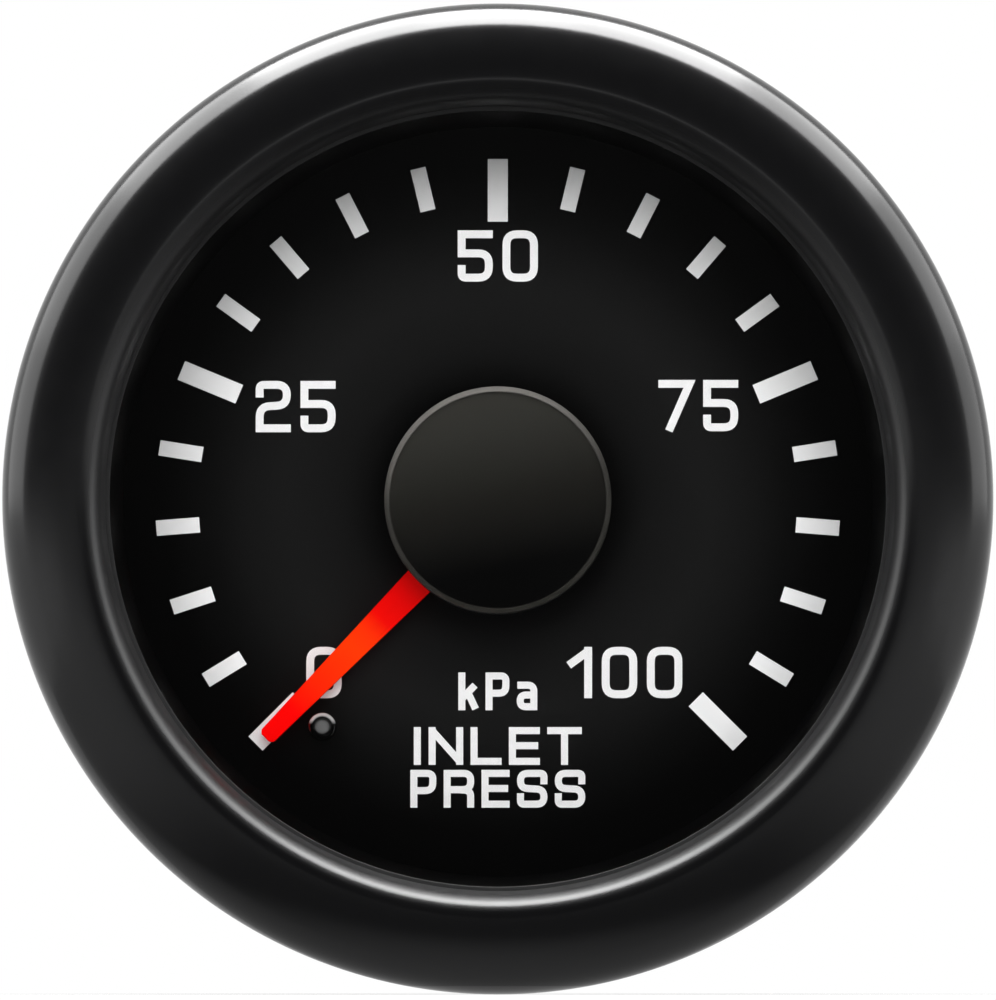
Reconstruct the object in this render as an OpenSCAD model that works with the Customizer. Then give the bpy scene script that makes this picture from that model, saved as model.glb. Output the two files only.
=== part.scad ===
// Boost gauge for a round panel hole. A curved pressure tube drives a toothed sector and a pinion,
// and the pinion's arbor carries the pointer. A bracket on two studs clamps the case to the panel.
// The dial faces -Y with its top at +Z. The origin is on the dial's axis, in the panel's front face.
// Each module draws in the dial's own frame, x right, y up and z towards the eye, and facing() turns it.

/* [Case] */
// Diameter of the front barrel, which goes through the panel hole
case_d = 52; // [50:0.1:56]
// Thickness of the drawn steel
case_wall = 0.8; // [0.6:0.1:1]
// Depth of the case behind the panel's face
case_depth = 36; // [34:0.5:46]
// How far the flange stands out around the front barrel
flange_w = 1.8; // [1.4:0.1:2.4]
// How much smaller the rear barrel is in radius
rear_step = 1; // [0.8:0.1:1.6]
// Outer radius of the rounded rear edge
case_round = 2.4; // [1.5:0.1:3]

/* [Bezel] */
// Wall outside the groove that holds the flange
bezel_wall = 1.6; // [1.3:0.1:2.4]
// Thickness of the lip rolled in behind the flange
crimp_t = 0.6; // [0.4:0.05:0.9]
// How far that lip reaches in
crimp_w = 0.9; // [0.6:0.05:1]
// How far the front lip covers the glass
lip_w = 1.9; // [1.5:0.1:2.4]
// Height of the front of the bezel over the lens gasket
lip_t = 2.7; // [2.2:0.1:3.6]
// Distance from the opening out to the crest
crest_w = 1.35; // [1:0.05:1.8]
// Radius of the crest's inner round
crest_round = 0.7; // [0.4:0.05:0.9]
// Radius of the broad front face, seen in section
face_round = 9; // [7:0.5:14]
// Radius of the outer edge, seen in section
edge_round = 2.5; // [1.5:0.1:3]

/* [Glass and seals] */
// Thickness of the glass
lens_t = 1.5; // [1:0.1:2.5]
// Thickness of the gasket between the glass and the bezel
gasket_t = 0.6; // [0.4:0.05:1]
// Thickness of the seal between the flange and the bezel
seal_t = 0.7; // [0.5:0.05:1.2]

/* [Dial] */
// Height of the black ring that stands between the dial and the glass
visor_h = 4.8; // [4.4:0.1:7]
// How much that ring narrows in radius towards the dial
visor_lean = 1; // [0.4:0.1:1.6]
// Thickness of the dial
dial_t = 0.8; // [0.5:0.1:1.2]
// Height of the light ring under the dial
light_ring_h = 3; // [2:0.1:4]
// Width of the light ring, seen from the front
light_ring_w = 4.4; // [3:0.1:5]
// Distance from the visor's foot to the outer ends of the marks
mark_margin = 1.9; // [1.2:0.1:3]
// Length of a small mark
minor_len = 2.6; // [1.5:0.05:3.5]
// Width of a small mark
minor_w = 0.92; // [0.4:0.02:1.2]
// Length of a large mark
major_len = 3.75; // [2.5:0.05:5]
// Width of a large mark
major_w = 1.2; // [0.6:0.05:1.8]
// Thickness of the printed marks
print_t = 0.08; // [0.05:0.01:0.2]
// Angle of the first mark, counted from the right
zero_angle = 225; // [200:1:260]
// Angle from the first mark to the last
sweep = 270; // [180:1:290]
// Number of steps between marks
mark_steps = 20; // [10:1:40]
// Steps from one large mark to the next
major_every = 5; // [2:1:10]

/* [Pointer] */
// Gap from the pointer's tip to the outer ends of the marks
tip_gap = 0.65; // [0.2:0.05:2]
// Width of the pointer at the cap
blade_root_w = 1.83; // [1.2:0.01:2.4]
// Width of the pointer at its tip
blade_tip_w = 1.05; // [0.6:0.01:1.2]
// Thickness of the pointer
blade_t = 0.8; // [0.5:0.05:1]
// Height of the pointer over the dial
blade_lift = 1.5; // [1.2:0.05:1.8]
// Diameter of the cap over the pointer's hub
cap_d = 13.56; // [10:0.02:15]
// Height of the cap over the pointer
cap_rise = 1.7; // [1.2:0.05:2]
// Wall of the cap
cap_wall = 0.7; // [0.5:0.05:0.9]
// Width of the bevel round the cap's top
cap_bevel = 0.27; // [0.1:0.01:0.4]
// Diameter of the stop pin
stop_d = 1.7; // [1:0.05:2]
// Height of the stop pin over the dial
stop_rise = 2.7; // [2.4:0.05:3.4]
// Distance from the marks' outer ends in to the stop pin
stop_inset = 3.4; // [2.8:0.05:6]
// Angle from the first mark back to the stop pin
stop_lag = 7.2; // [6.5:0.1:12]

/* [Movement] */
// Teeth on the pinion
pinion_teeth = 12; // [10:1:14]
// Teeth that a full circle of the sector would have
sector_teeth = 108; // [90:2:126]
// Thickness of the sector
sector_t = 1; // [0.7:0.05:1.3]
// Distance from the dial's back to the upper plate
plate_drop = 3.8; // [3:0.1:5]
// Thickness of the upper plate
upper_t = 1; // [0.8:0.1:1.4]
// Thickness of the lower plate
lower_t = 1.2; // [1:0.1:1.6]
// Height of the pillars between the plates
pillar_h = 6; // [5.6:0.1:8]
// Diameter of the pillars
pillar_d = 2.8; // [2.2:0.1:3.2]
// Thickness of the hairspring's strip
spring_t = 0.16; // [0.1:0.01:0.22]
// Height of the hairspring's strip
spring_h = 1; // [0.6:0.05:1.2]
// Turns in the hairspring
spring_turns = 6; // [3:1:6]

/* [Pressure tube] */
// Width of the tube's flat section
tube_w = 2.4; // [1.8:0.1:2.8]
// Height of the tube's flat section
tube_h = 8; // [6:0.1:8.4]
// Wall of the tube
tube_wall = 0.35; // [0.2:0.05:0.5]
// Gap from the tube out to the rear barrel
tube_gap = 4.5; // [4:0.1:5.2]
// Width across the flats of the inlet fitting
inlet_af = 11.1; // [10.8:0.1:12]
// Length of the fitting's hexagon
inlet_hex_t = 5; // [3:0.1:6]
// Diameter of the fitting's threaded nose
inlet_d = 10.1; // [8:0.05:10.4]
// Length of the fitting's threaded nose
inlet_len = 10; // [7:0.5:14]
// Diameter of the bore through the fitting
inlet_bore = 3; // [1.5:0.1:4]

/* [Clamp] */
// Diameter of the two studs
stud_d = 4.1; // [3:0.05:4.6]
// Distance between the two studs
stud_gap = 30; // [28:0.5:34]
// Length of the studs behind the case
stud_len = 22; // [20:0.5:30]
// Gap between the bezel and the ends of the bracket's legs
panel_gap = 5; // [4.6:0.1:10]
// Thickness of the bracket's strip
bracket_t = 1.4; // [1.2:0.1:1.6]
// Width of the bracket's strip
bracket_w = 16; // [15.6:0.1:16.4]
// Gap from the front barrel out to the bracket's legs
bracket_gap = 1; // [0.9:0.1:1.1]
// Gap from the case back to the bracket's bridge
bridge_gap = 6.5; // [6.4:0.1:9]
// Diameter of the knurled nuts
thumb_d = 9.6; // [8:0.1:11]
// Length of the knurled nuts
thumb_len = 8; // [6:0.1:9]

/* [Lamp] */
// Diameter of the lamp holder's plug
lamp_d = 8.8; // [7:0.1:9]
// Distance from the rear barrel's inside to the lamp's axis
lamp_edge = 7.2; // [7:0.1:7.6]
// Diameter of the bulb
bulb_d = 5; // [4:0.1:5.4]
// Length of the bulb
bulb_len = 10; // [7:0.1:11]

/* [Hidden] */
$fn = 96;

// Clearances and cuts
// Overrun of every cut past the face it opens
cut = 1;
// Radial play of a pivot in its hole
pivot_play = 0.05;
// Radial play between pieces that are fixed together
fixed_play = 0.02;
// Radial play of loose rings and discs in the case
ring_play = 0.2;
// Play between a moving piece and a flat face beside it
face_play = 0.1;

// Case radii and levels, from the panel's face at zero
case_r = case_d / 2;
front_in_r = case_r - case_wall;
rear_r = case_r - rear_step;
rear_in_r = rear_r - case_wall;
flange_r = case_r + flange_w;
flange_front = crimp_t + case_wall;
case_back = -case_depth;
case_floor = case_back + case_wall;
shank_hole_r = 4.2;

// Levels of the glass, the visor and the dial
seal_front = flange_front + seal_t;
lens_rise = 0.3;
lens_back = seal_front + lens_rise;
lens_front = lens_back + lens_t;
lip_back = lens_front + gasket_t;
crest_z = lip_back + lip_t;
dial_front = lens_back - visor_h;
dial_back = dial_front - dial_t;
shoulder_in = dial_back - light_ring_h;
shoulder_out = shoulder_in - case_wall;

// Glass, gasket and seal
lens_r = front_in_r - ring_play;
lens_bevel = 0.2;
opening_r = lens_r - lip_w;
gasket_back_off = 0.4;
seal_inset = 0.4;

// Bezel section
groove_play = 0.1;
groove_r = flange_r + groove_play;
bezel_r = groove_r + bezel_wall;
lens_pocket_r = lens_r + ring_play + groove_play;
crest_r = opening_r + crest_w;
land_h = 0.4;
edge_centre_r = bezel_r - edge_round;
face_lean = asin((edge_centre_r - crest_r) / (face_round - edge_round));
side_z = crest_z - face_round + (face_round - edge_round) * cos(face_lean);
cone_run = [crest_w, crest_z - crest_round - lip_back - land_h];
cone_angle = atan2(cone_run[1], cone_run[0]) + asin(crest_round / norm(cone_run));
back_break = 0.3;
crest_steps = 8;
face_steps = 10;
edge_steps = 12;

// Visor, dial and marks
visor_back_off = 0.3;
visor_top_r = opening_r + visor_back_off;
visor_foot_r = visor_top_r - visor_lean;
dial_r = front_in_r - ring_play - groove_play;
dial_hole_r = 1.6;
key_r = 0.7;
key_inset = 0.5;
key_place_r = dial_r - key_r - key_inset;
scale_r = visor_foot_r - mark_margin;
light_ring_r = dial_r - light_ring_w;
light_ring_bevel = 0.6;

// Pointer and cap
rest_lag = 0.6;
rest_angle = zero_angle + rest_lag;
blade_r = scale_r - tip_gap;
blade_back = dial_front + blade_lift;
blade_front = blade_back + blade_t;
blade_hub_r = 2.4;
blade_tail = 4.6;
blade_boss_drop = 0.7;
cap_r = cap_d / 2;
cap_top = blade_front + cap_rise;
cap_foot = dial_front + blade_lift - blade_boss_drop;
cap_notch_play = 0.15;
cap_dish = 0.12;
stop_place_r = scale_r - stop_inset;
stop_r = stop_d / 2;
stop_round = 0.4;
stop_shank_r = 0.5;
stop_rivet_t = 0.4;

// Radii of the tube and the plates, which follow the case, and what lies on the plates
tube_r = rear_in_r - tube_gap - tube_w / 2;
plate_gap = 1.8;
plate_r = tube_r - tube_w / 2 - plate_gap;
plate_flat = 4.5;
plate_w = 2 * (plate_r - plate_flat);
sector_edge = 3.5;
centre_gap = plate_r - sector_edge;
tail_share = 0.5;
tail_len = tail_share * centre_gap;

// Movement levels
upper_front = dial_back - plate_drop;
upper_back = upper_front - upper_t;
lower_front = upper_back - pillar_h;
lower_back = lower_front - lower_t;
sector_lift = 1;
sector_back = lower_front + sector_lift;
sector_front = sector_back + sector_t;
link_t = 0.6;
link_back = sector_front + ring_play;
link_front = link_back + link_t;
pin_top = link_front + face_play;
pin_head_t = 0.4;
spring_drop = 1.6;
spring_front = upper_back - spring_drop;
spring_back = spring_front - spring_h;

// Teeth
gear_module = 2 * centre_gap / (pinion_teeth + sector_teeth);
pinion_pitch_r = gear_module * pinion_teeth / 2;
sector_pitch_r = gear_module * sector_teeth / 2;
pressure_angle = 20;
pinion_top_share = 0.9;
sector_top_share = 0.65;
root_share = 1.2;
backlash_share = 0.1;
sector_first = -11;
sector_last = 2;
tooth_pitch = 360 / sector_teeth;
sector_rim_w = 1.5;
sector_hub_r = 1.9;
spoke_w = 1.3;
sector_centre = [0, -centre_gap];

// Arbors and pins
lower_pivot_r = 0.5;
upper_pivot_r = 0.75;
pinion_shaft_r = 0.8;
pinion_len = 2;
pinion_under = 0.5;
pointer_shaft_r = 0.6;
sector_pivot_r = 0.45;
sector_shaft_r = 0.8;
pivot_short = 0.2;
pin_r = 0.45;
pin_head_r = 0.8;
eye_r = 1.1;
open_pivot_play = 0.16;
tail_angle = -77.53;
tail_pin = sector_centre + tail_len * [cos(tail_angle), sin(tail_angle)];

// Plates, pillars and screws
pillar_r = pillar_d / 2;
pillar_x = plate_w / 2 - pillar_r - 2 * back_break;
pillar_high_share = 0.48;
pillar_low_share = 0.52;
pillar_high_y = pillar_high_share * plate_r;
pillar_low_y = -pillar_low_share * plate_r;
pillar_places = [[-pillar_x, pillar_high_y], [pillar_x, pillar_high_y], [-pillar_x, pillar_low_y],
    [pillar_x, pillar_low_y]];
pillar_rivet_r = 0.8;
plate_screw_r = 0.6;
plate_screw_len = 3;
plate_head_r = 1.3;
plate_head_t = 0.8;
slot_w = 0.35;
slot_depth = 0.35;
block_screw_r = 1;
block_screw_len = 5;
block_head_r = 1.8;
block_head_t = 1.1;

// Hairspring
spring_share = 0.35;
spring_pitch = spring_share * plate_r / spring_turns;
collet_r = 1.6;
collet_over = 0.2;
spring_start_r = collet_r + spring_t / 2;
spring_end_x = spring_start_r + spring_turns * spring_pitch;
spring_post_gap = 0.1;
spring_post_r = spring_pitch - spring_t / 2 - spring_post_gap;
spring_post_over = 0.3;
spring_rivet_share = 0.68;
spring_rivet_r = spring_rivet_share * spring_post_r;
spring_slot_play = 0.12;

// Tube, tip and socket block
tube_root_angle = 215;
tube_end_angle = -50;
tube_lift = 2;
tube_mid_z = lower_front + tube_lift;
tip_wall = 0.5;
tip_hold = 6;
tip_close = 1.6;
tip_drop = 1.72;
tip_pin_angle = -56;
tip_pin_place = (tube_r - tip_drop) * [cos(tip_pin_angle), sin(tip_pin_angle)];
ear_t = 0.8;
ear_back = sector_back;
ear_front = ear_back + ear_t;
link_run = tip_pin_place - tail_pin;
link_len = norm(link_run);
link_angle = atan2(link_run[1], link_run[0]);
link_w = 1.2;
block_share = 0.5;
block_r = block_share * (rear_in_r - lamp_edge);
block_screw_share = 0.72;
block_screw_angle = 36;
block_screw_places = [for (side = [-1, 1])
    [side * cos(block_screw_angle), sin(block_screw_angle)] * block_screw_share * block_r];
arm_w = 6;
arm_t = 5;
arm_drop = 0.8;
arm_front = lower_back - arm_drop;
arm_back = arm_front - arm_t;
tower_in = 1.1;
tower_out = 0.9;
tower_top = tube_mid_z + tube_h / 2 + tip_wall;
tower_in_r = tube_r - tube_w / 2 - tower_in;
tower_out_r = tube_r + tube_w / 2 + tower_out;
chamber_angle = 4;
gallery_r = 1;
gallery_point = 0.6;
riser_r = 0.6;
riser_angle = 1.4;
slot_angle = 12;
gallery_z = (arm_front + arm_back) / 2;

// Inlet fitting
shank_r = 4;
shank_len = 8;
fitting_washer_t = 0.8;
fitting_washer_r = 6.2;
hex_front = case_back - fitting_washer_t;
hex_back = hex_front - inlet_hex_t;
nose_back = hex_back - inlet_len;
inlet_r = inlet_d / 2;
neck_r = inlet_r - back_break;
neck_len = 1.2;
nose_bevel = 0.6;

// Studs, bracket and nuts
stud_r = stud_d / 2;
stud_x = stud_gap / 2;
stud_back = case_back - stud_len;
stud_head_r = 3.4;
stud_head_t = 1.2;
stud_bevel = 0.4;
stud_nut_af = 7;
stud_nut_t = 2.2;
bracket_in = case_r + bracket_gap;
bend_r = 1.5;
leg_round = 3;
bridge_front = case_back - bridge_gap;
bridge_back = bridge_front - bracket_t;
bracket_hole_play = 0.6;
bracket_hole_r = inlet_af / sqrt(3) + bracket_hole_play;
bracket_play = 0.2;
lock_washer_r = 3.8;
lock_washer_t = 0.9;
lock_washer_slit = 0.8;
thumb_r = thumb_d / 2;
thumb_front = bridge_back - lock_washer_t - face_play;
thumb_back = thumb_front - thumb_len;
thumb_collar_t = 1.6;
thumb_collar_inset = 0.7;
thumb_flutes = 16;
flute_r = 0.55;

// Lamp
lamp_y = rear_in_r - lamp_edge;
lamp_r = lamp_d / 2;
lamp_plug_len = 5;
lamp_flange_w = 0.9;
lamp_flange_r = lamp_r + lamp_flange_w;
lamp_flange_t = 1.2;
lamp_flange_front = case_back - face_play;
lamp_flange_back = lamp_flange_front - lamp_flange_t;
lamp_body_inset = 0.5;
lamp_body_len = 5;
lamp_back = lamp_flange_back - lamp_body_len;
lamp_front = case_back + lamp_plug_len;
lamp_grip_r = 0.5;
lamp_grips = 12;
bulb_r = bulb_d / 2;
bulb_seat = 3;
bulb_stub_r = 1.4;
bulb_back = lamp_front - bulb_seat;
bulb_front = lamp_front + bulb_len;
terminal_w = 2.8;
terminal_t = 0.6;
terminal_len = 5;
terminal_root = 2;
terminal_x = 2;
terminal_hole_r = 0.6;

// Turns the dial's frame to the part's frame
module facing() {
    rotate([90, 0, 0]) children();
}

// A plate between two levels, from a flat outline
module slab(back, front) {
    translate([0, 0, back]) linear_extrude(front - back) children();
}

// A round rod between two levels
module rod(r, back, front) {
    translate([0, 0, back]) cylinder(r = r, h = front - back);
}

// A ring's section for a turned piece
module section(in_r, out_r, back, front) {
    translate([in_r, back]) square([out_r - in_r, front - back]);
}

// A slice of a disc between two angles less than half a turn apart
module pie(centre, r, from, to) {
    far = 2 * r;
    mid = (from + to) / 2;
    translate(centre) intersection() {
        circle(r = r);
        polygon([[0, 0], far * [cos(from), sin(from)], far * [cos(mid), sin(mid)], far * [cos(to), sin(to)]]);
    }
}

// A flat bar from one place to another
module bar(start, end, w) {
    run = end - start;
    translate(start) rotate(atan2(run[1], run[0])) translate([0, -w / 2]) square([norm(run), w]);
}

// A hexagon by its width across the flats
module hexagon(af) {
    circle(r = af / 2 / cos(30), $fn = 6);
}

// The flat section of the pressure tube, grown by a margin
module tube_section(margin) {
    r = tube_w / 2 + margin;
    straight = tube_h - tube_w;
    square([2 * r, straight], center = true);
    for (side = [-1, 1]) translate([0, side * straight / 2]) circle(r = r, $fn = 48);
}

// A stretch of that section along the tube's circle
module tube_stretch(margin, from, to) {
    translate([0, 0, tube_mid_z]) rotate(from) rotate_extrude(angle = to - from)
        translate([tube_r, 0]) tube_section(margin);
}

function polar(r, angle) = r * [cos(angle), sin(angle)];

// Points along an arc in equal steps, from a chosen step on
function arc(centre, r, from, to, steps, first = 0) =
    [for (i = [first:steps]) centre + polar(r, from + (to - from) * i / steps)];

// Half the angle of an involute tooth at a radius, in degrees
function roll(r, base_r) = sqrt(max(0, pow(r / base_r, 2) - 1)) * 180 / PI;
function flank(r, base_r) = roll(r, base_r) - atan(roll(r, base_r) * PI / 180);
function half_tooth(r, pitch_r, teeth) =
    let (base_r = pitch_r * cos(pressure_angle), reach = max(r, base_r))
    (90 - 90 * backlash_share) / teeth + flank(pitch_r, base_r) - flank(reach, base_r);

// One tooth's outline at an angle, from its left root round to its right root
function tooth(at, pitch_r, teeth, radii) = concat(
    [for (i = [0:len(radii) - 1]) polar(radii[i], at - half_tooth(radii[i], pitch_r, teeth))],
    [for (i = [len(radii) - 1:-1:0]) polar(radii[i], at + half_tooth(radii[i], pitch_r, teeth))]);

module bezel() {
    crest = [crest_r, crest_z - crest_round];
    face = [crest_r, crest_z - face_round];
    color([0.05, 0.05, 0.055]) facing() rotate_extrude($fn = 180) polygon(concat(
        [[opening_r, lip_back], [opening_r, lip_back + land_h]],
        arc(crest, crest_round, 90 + cone_angle, 90, crest_steps),
        arc(face, face_round, 90, 90 - face_lean, face_steps, 1),
        arc([edge_centre_r, side_z], edge_round, 90 - face_lean, 0, edge_steps, 1),
        [[bezel_r, back_break], [bezel_r - back_break, 0], [groove_r - crimp_w, 0],
            [groove_r - crimp_w, crimp_t], [groove_r, crimp_t], [groove_r, seal_front],
            [lens_pocket_r, seal_front], [lens_pocket_r, lip_back]]));
}

module bezel_seal() {
    color([0.1, 0.1, 0.1]) facing() rotate_extrude()
        section(case_r + seal_inset - case_wall, flange_r - seal_inset, flange_front, seal_front);
}

module lens() {
    color([0.85, 0.9, 0.92, 0.35]) facing() rotate_extrude() polygon([[0, lens_back],
        [lens_r - lens_bevel, lens_back], [lens_r, lens_back + lens_bevel],
        [lens_r, lens_front - lens_bevel], [lens_r - lens_bevel, lens_front], [0, lens_front]]);
}

module lens_gasket() {
    color([0.08, 0.08, 0.08]) facing() rotate_extrude()
        section(opening_r + gasket_back_off, lens_r, lens_front, lip_back);
}

module visor_ring() {
    color([0.07, 0.07, 0.07]) facing() rotate_extrude() polygon([[visor_foot_r, dial_front],
        [dial_r, dial_front], [dial_r, lens_back], [visor_top_r, lens_back]]);
}

module dial() {
    color([0.1, 0.1, 0.1]) facing() slab(dial_back, dial_front) difference() {
        circle(r = dial_r);
        circle(r = dial_hole_r);
        translate(polar(stop_place_r, zero_angle + stop_lag)) circle(r = stop_shank_r + fixed_play, $fn = 32);
        translate([0, -key_place_r]) circle(r = key_r + fixed_play, $fn = 32);
        translate([-key_r - fixed_play, -dial_r - cut])
            square([2 * (key_r + fixed_play), dial_r - key_place_r + cut]);
    }
}

module dial_marks() {
    color([0.93, 0.93, 0.92]) facing() for (i = [0:mark_steps]) {
        large = i % major_every == 0;
        len = large ? major_len : minor_len;
        w = large ? major_w : minor_w;
        rotate(zero_angle - sweep * i / mark_steps) translate([scale_r - len, -w / 2, dial_front])
            cube([len, w, print_t]);
    }
}

module stop_pin() {
    top = dial_front + stop_rise;
    color([0.06, 0.06, 0.06]) facing() translate(polar(stop_place_r, zero_angle + stop_lag))
        rotate_extrude($fn = 48) union() {
            section(0, stop_shank_r, dial_back - stop_rivet_t, dial_front);
            section(0, stop_r, dial_front, top - stop_round);
            section(0, stop_r - stop_round, top - stop_round, top);
            pie([stop_r - stop_round, top - stop_round], stop_round, 0, 90);
            section(0, stop_r, dial_back - stop_rivet_t, dial_back);
        }
}

module light_ring() {
    color([0.9, 0.92, 0.94]) facing() {
        rotate_extrude() polygon([[light_ring_r + light_ring_bevel, shoulder_in], [dial_r, shoulder_in],
            [dial_r, dial_back], [light_ring_r, dial_back], [light_ring_r, shoulder_in + light_ring_bevel]]);
        translate([0, -key_place_r, 0]) rod(key_r, shoulder_in, dial_front);
    }
}

module gauge_case() {
    in_round = case_round - case_wall;
    color([0.12, 0.12, 0.125]) facing() difference() {
        rotate_extrude($fn = 180) union() {
            section(front_in_r, flange_r, crimp_t, flange_front);
            section(front_in_r, case_r, shoulder_out, crimp_t);
            section(rear_in_r, front_in_r, shoulder_out, shoulder_in);
            section(rear_in_r, rear_r, case_back + case_round, shoulder_out);
            section(0, rear_r - case_round, case_back, case_floor);
            difference() {
                pie([rear_r - case_round, case_back + case_round], case_round, -90, 0);
                translate([rear_r - case_round, case_back + case_round]) circle(r = in_round);
            }
        }
        rod(shank_hole_r, case_back - cut, case_floor + cut);
        for (side = [-1, 1]) translate([side * stud_x, 0, 0])
            rod(stud_r + pivot_play, case_back - cut, case_floor + cut);
        translate([0, lamp_y, 0]) rod(lamp_r + pivot_play, case_back - cut, case_floor + cut);
    }
}

// The pointer's outline, along x
module blade_outline() {
    tip_break = blade_tip_w / 6;
    polygon([[0, -blade_root_w / 2], [cap_r, -blade_root_w / 2], [blade_r - tip_break, -blade_tip_w / 2],
        [blade_r, tip_break - blade_tip_w / 2], [blade_r, blade_tip_w / 2 - tip_break],
        [blade_r - tip_break, blade_tip_w / 2], [cap_r, blade_root_w / 2], [0, blade_root_w / 2]]);
    translate([-blade_tail, -blade_root_w]) square([blade_tail, 2 * blade_root_w]);
}

module pointer() {
    color([0.93, 0.12, 0.05]) facing() rotate(rest_angle) difference() {
        union() {
            slab(blade_back, blade_front) blade_outline();
            rod(blade_hub_r, blade_back - blade_boss_drop, blade_front);
        }
        rod(pointer_shaft_r + fixed_play, blade_back - blade_boss_drop - cut, blade_front + cut);
    }
}

module hub_cap() {
    color([0.07, 0.065, 0.06]) facing() rotate(rest_angle) difference() {
        rotate_extrude() difference() {
            polygon([[0, cap_foot], [cap_r, cap_foot], [cap_r, cap_top - cap_bevel],
                [cap_r - cap_bevel, cap_top], [cap_r - 2 * cap_bevel, cap_top],
                [cap_r - 2 * cap_bevel - cap_dish, cap_top - cap_dish], [0, cap_top - cap_dish]]);
            section(-cut, cap_r - cap_wall, cap_foot - cut, blade_front);
        }
        translate([0, -blade_root_w / 2 - cap_notch_play, cap_foot - cut])
            cube([cap_r + cut, blade_root_w + 2 * cap_notch_play, blade_front - cap_foot + cut]);
    }
}

// The pinion's outline, with a gap turned towards the sector
module pinion_outline() {
    radii = [pinion_pitch_r - root_share * gear_module, pinion_pitch_r * cos(pressure_angle),
        pinion_pitch_r, pinion_pitch_r + pinion_top_share * gear_module];
    polygon([for (i = [0:pinion_teeth - 1]) each tooth(-90 + 360 * (i + 0.5) / pinion_teeth,
        pinion_pitch_r, pinion_teeth, radii)]);
}

module pinion_arbor() {
    color([0.72, 0.72, 0.74]) facing() {
        rod(lower_pivot_r, lower_back + pivot_short, lower_front + face_play);
        slab(sector_back - pinion_under, sector_back + pinion_len) pinion_outline();
        rod(pinion_shaft_r, lower_front + face_play, upper_back - face_play);
        rod(upper_pivot_r, upper_back - face_play, upper_front + face_play);
        rod(pointer_shaft_r, upper_front + face_play, blade_front);
    }
}

module hairspring() {
    color([0.75, 0.6, 0.3]) facing() for (i = [0:2 * spring_turns - 1]) {
        r = spring_start_r + i * spring_pitch / 2;
        upper = i % 2 == 0;
        translate([upper ? 0 : spring_pitch / 2, 0, 0]) rotate(upper ? 0 : 180)
            rotate_extrude(angle = 180)
                section(r - spring_t / 2, r + spring_t / 2, spring_back, spring_front);
    }
}

module hairspring_collet() {
    color([0.8, 0.66, 0.32]) facing() slab(spring_back - collet_over, spring_front + collet_over)
        difference() {
            circle(r = collet_r);
            circle(r = pinion_shaft_r + fixed_play);
            translate([-collet_r - cut, -slot_w / 2]) square([collet_r + cut, slot_w]);
        }
}

module hairspring_stud() {
    color([0.8, 0.66, 0.32]) facing() translate([spring_end_x, 0, 0]) {
        difference() {
            rod(spring_post_r, spring_back - spring_post_over, upper_back);
            translate([-spring_t / 2 - spring_slot_play, -spring_post_r - cut,
                spring_back - spring_post_over - cut])
                cube([spring_t + 2 * spring_slot_play, spring_post_r + cut + pivot_play,
                    spring_h + spring_post_over + cut + pivot_play]);
        }
        rod(spring_rivet_r, upper_back, upper_front);
    }
}

// The outline that both plates share
module plate_outline() {
    intersection() {
        circle(r = plate_r);
        square([plate_w, 2 * plate_r + cut], center = true);
    }
}

module upper_plate() {
    color([0.82, 0.68, 0.35]) facing() slab(upper_back, upper_front) difference() {
        plate_outline();
        circle(r = upper_pivot_r + pivot_play, $fn = 48);
        translate(sector_centre) circle(r = sector_pivot_r + pivot_play, $fn = 48);
        translate([spring_end_x, 0]) circle(r = spring_rivet_r + fixed_play, $fn = 48);
        for (place = pillar_places) translate(place) circle(r = plate_screw_r + pivot_play, $fn = 48);
    }
}

module lower_plate() {
    color([0.82, 0.68, 0.35]) facing() slab(lower_back, lower_front) difference() {
        plate_outline();
        circle(r = lower_pivot_r + pivot_play, $fn = 48);
        translate(sector_centre) circle(r = sector_pivot_r + pivot_play, $fn = 48);
        for (place = pillar_places) translate(place) circle(r = pillar_rivet_r + fixed_play, $fn = 48);
        for (place = block_screw_places) translate(place) circle(r = block_screw_r + pivot_play, $fn = 48);
    }
}

module plate_pillars() {
    color([0.82, 0.68, 0.35]) facing() for (place = pillar_places) translate(place) {
        rod(pillar_rivet_r, lower_back, lower_front);
        difference() {
            rod(pillar_r, lower_front, upper_back);
            rod(plate_screw_r + fixed_play, upper_back + upper_t - plate_screw_len - back_break,
                upper_back + cut);
        }
    }
}

// A slotted screw with its head's foot at a level
module slotted_screw(r, len, head_r, head_t, level) {
    difference() {
        rod(head_r, level, level + head_t);
        translate([-head_r - cut, -slot_w / 2, level + head_t - slot_depth])
            cube([2 * (head_r + cut), slot_w, slot_depth + cut]);
    }
    rod(r, level - len, level);
}

module plate_screws() {
    color([0.6, 0.6, 0.62]) facing() for (place = pillar_places) translate(place)
        slotted_screw(plate_screw_r, plate_screw_len, plate_head_r, plate_head_t, upper_front);
}

module block_screws() {
    color([0.6, 0.6, 0.62]) facing() for (place = block_screw_places) translate(place)
        slotted_screw(block_screw_r, block_screw_len, block_head_r, block_head_t, lower_front);
}

// The toothed rim of the sector, about the sector's own pivot
module sector_rim() {
    root_r = sector_pitch_r - root_share * gear_module;
    radii = [root_r, sector_pitch_r, sector_pitch_r + sector_top_share * gear_module];
    from = 90 + (sector_first - 0.5) * tooth_pitch;
    to = 90 + (sector_last + 0.5) * tooth_pitch;
    inner_steps = 8;
    polygon(concat(
        [polar(root_r, from)],
        [for (i = [sector_first:sector_last])
            each tooth(90 + i * tooth_pitch, sector_pitch_r, sector_teeth, radii)],
        [polar(root_r, to)],
        [for (i = [inner_steps:-1:0]) polar(root_r - sector_rim_w, from + (to - from) * i / inner_steps)]));
}

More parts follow.
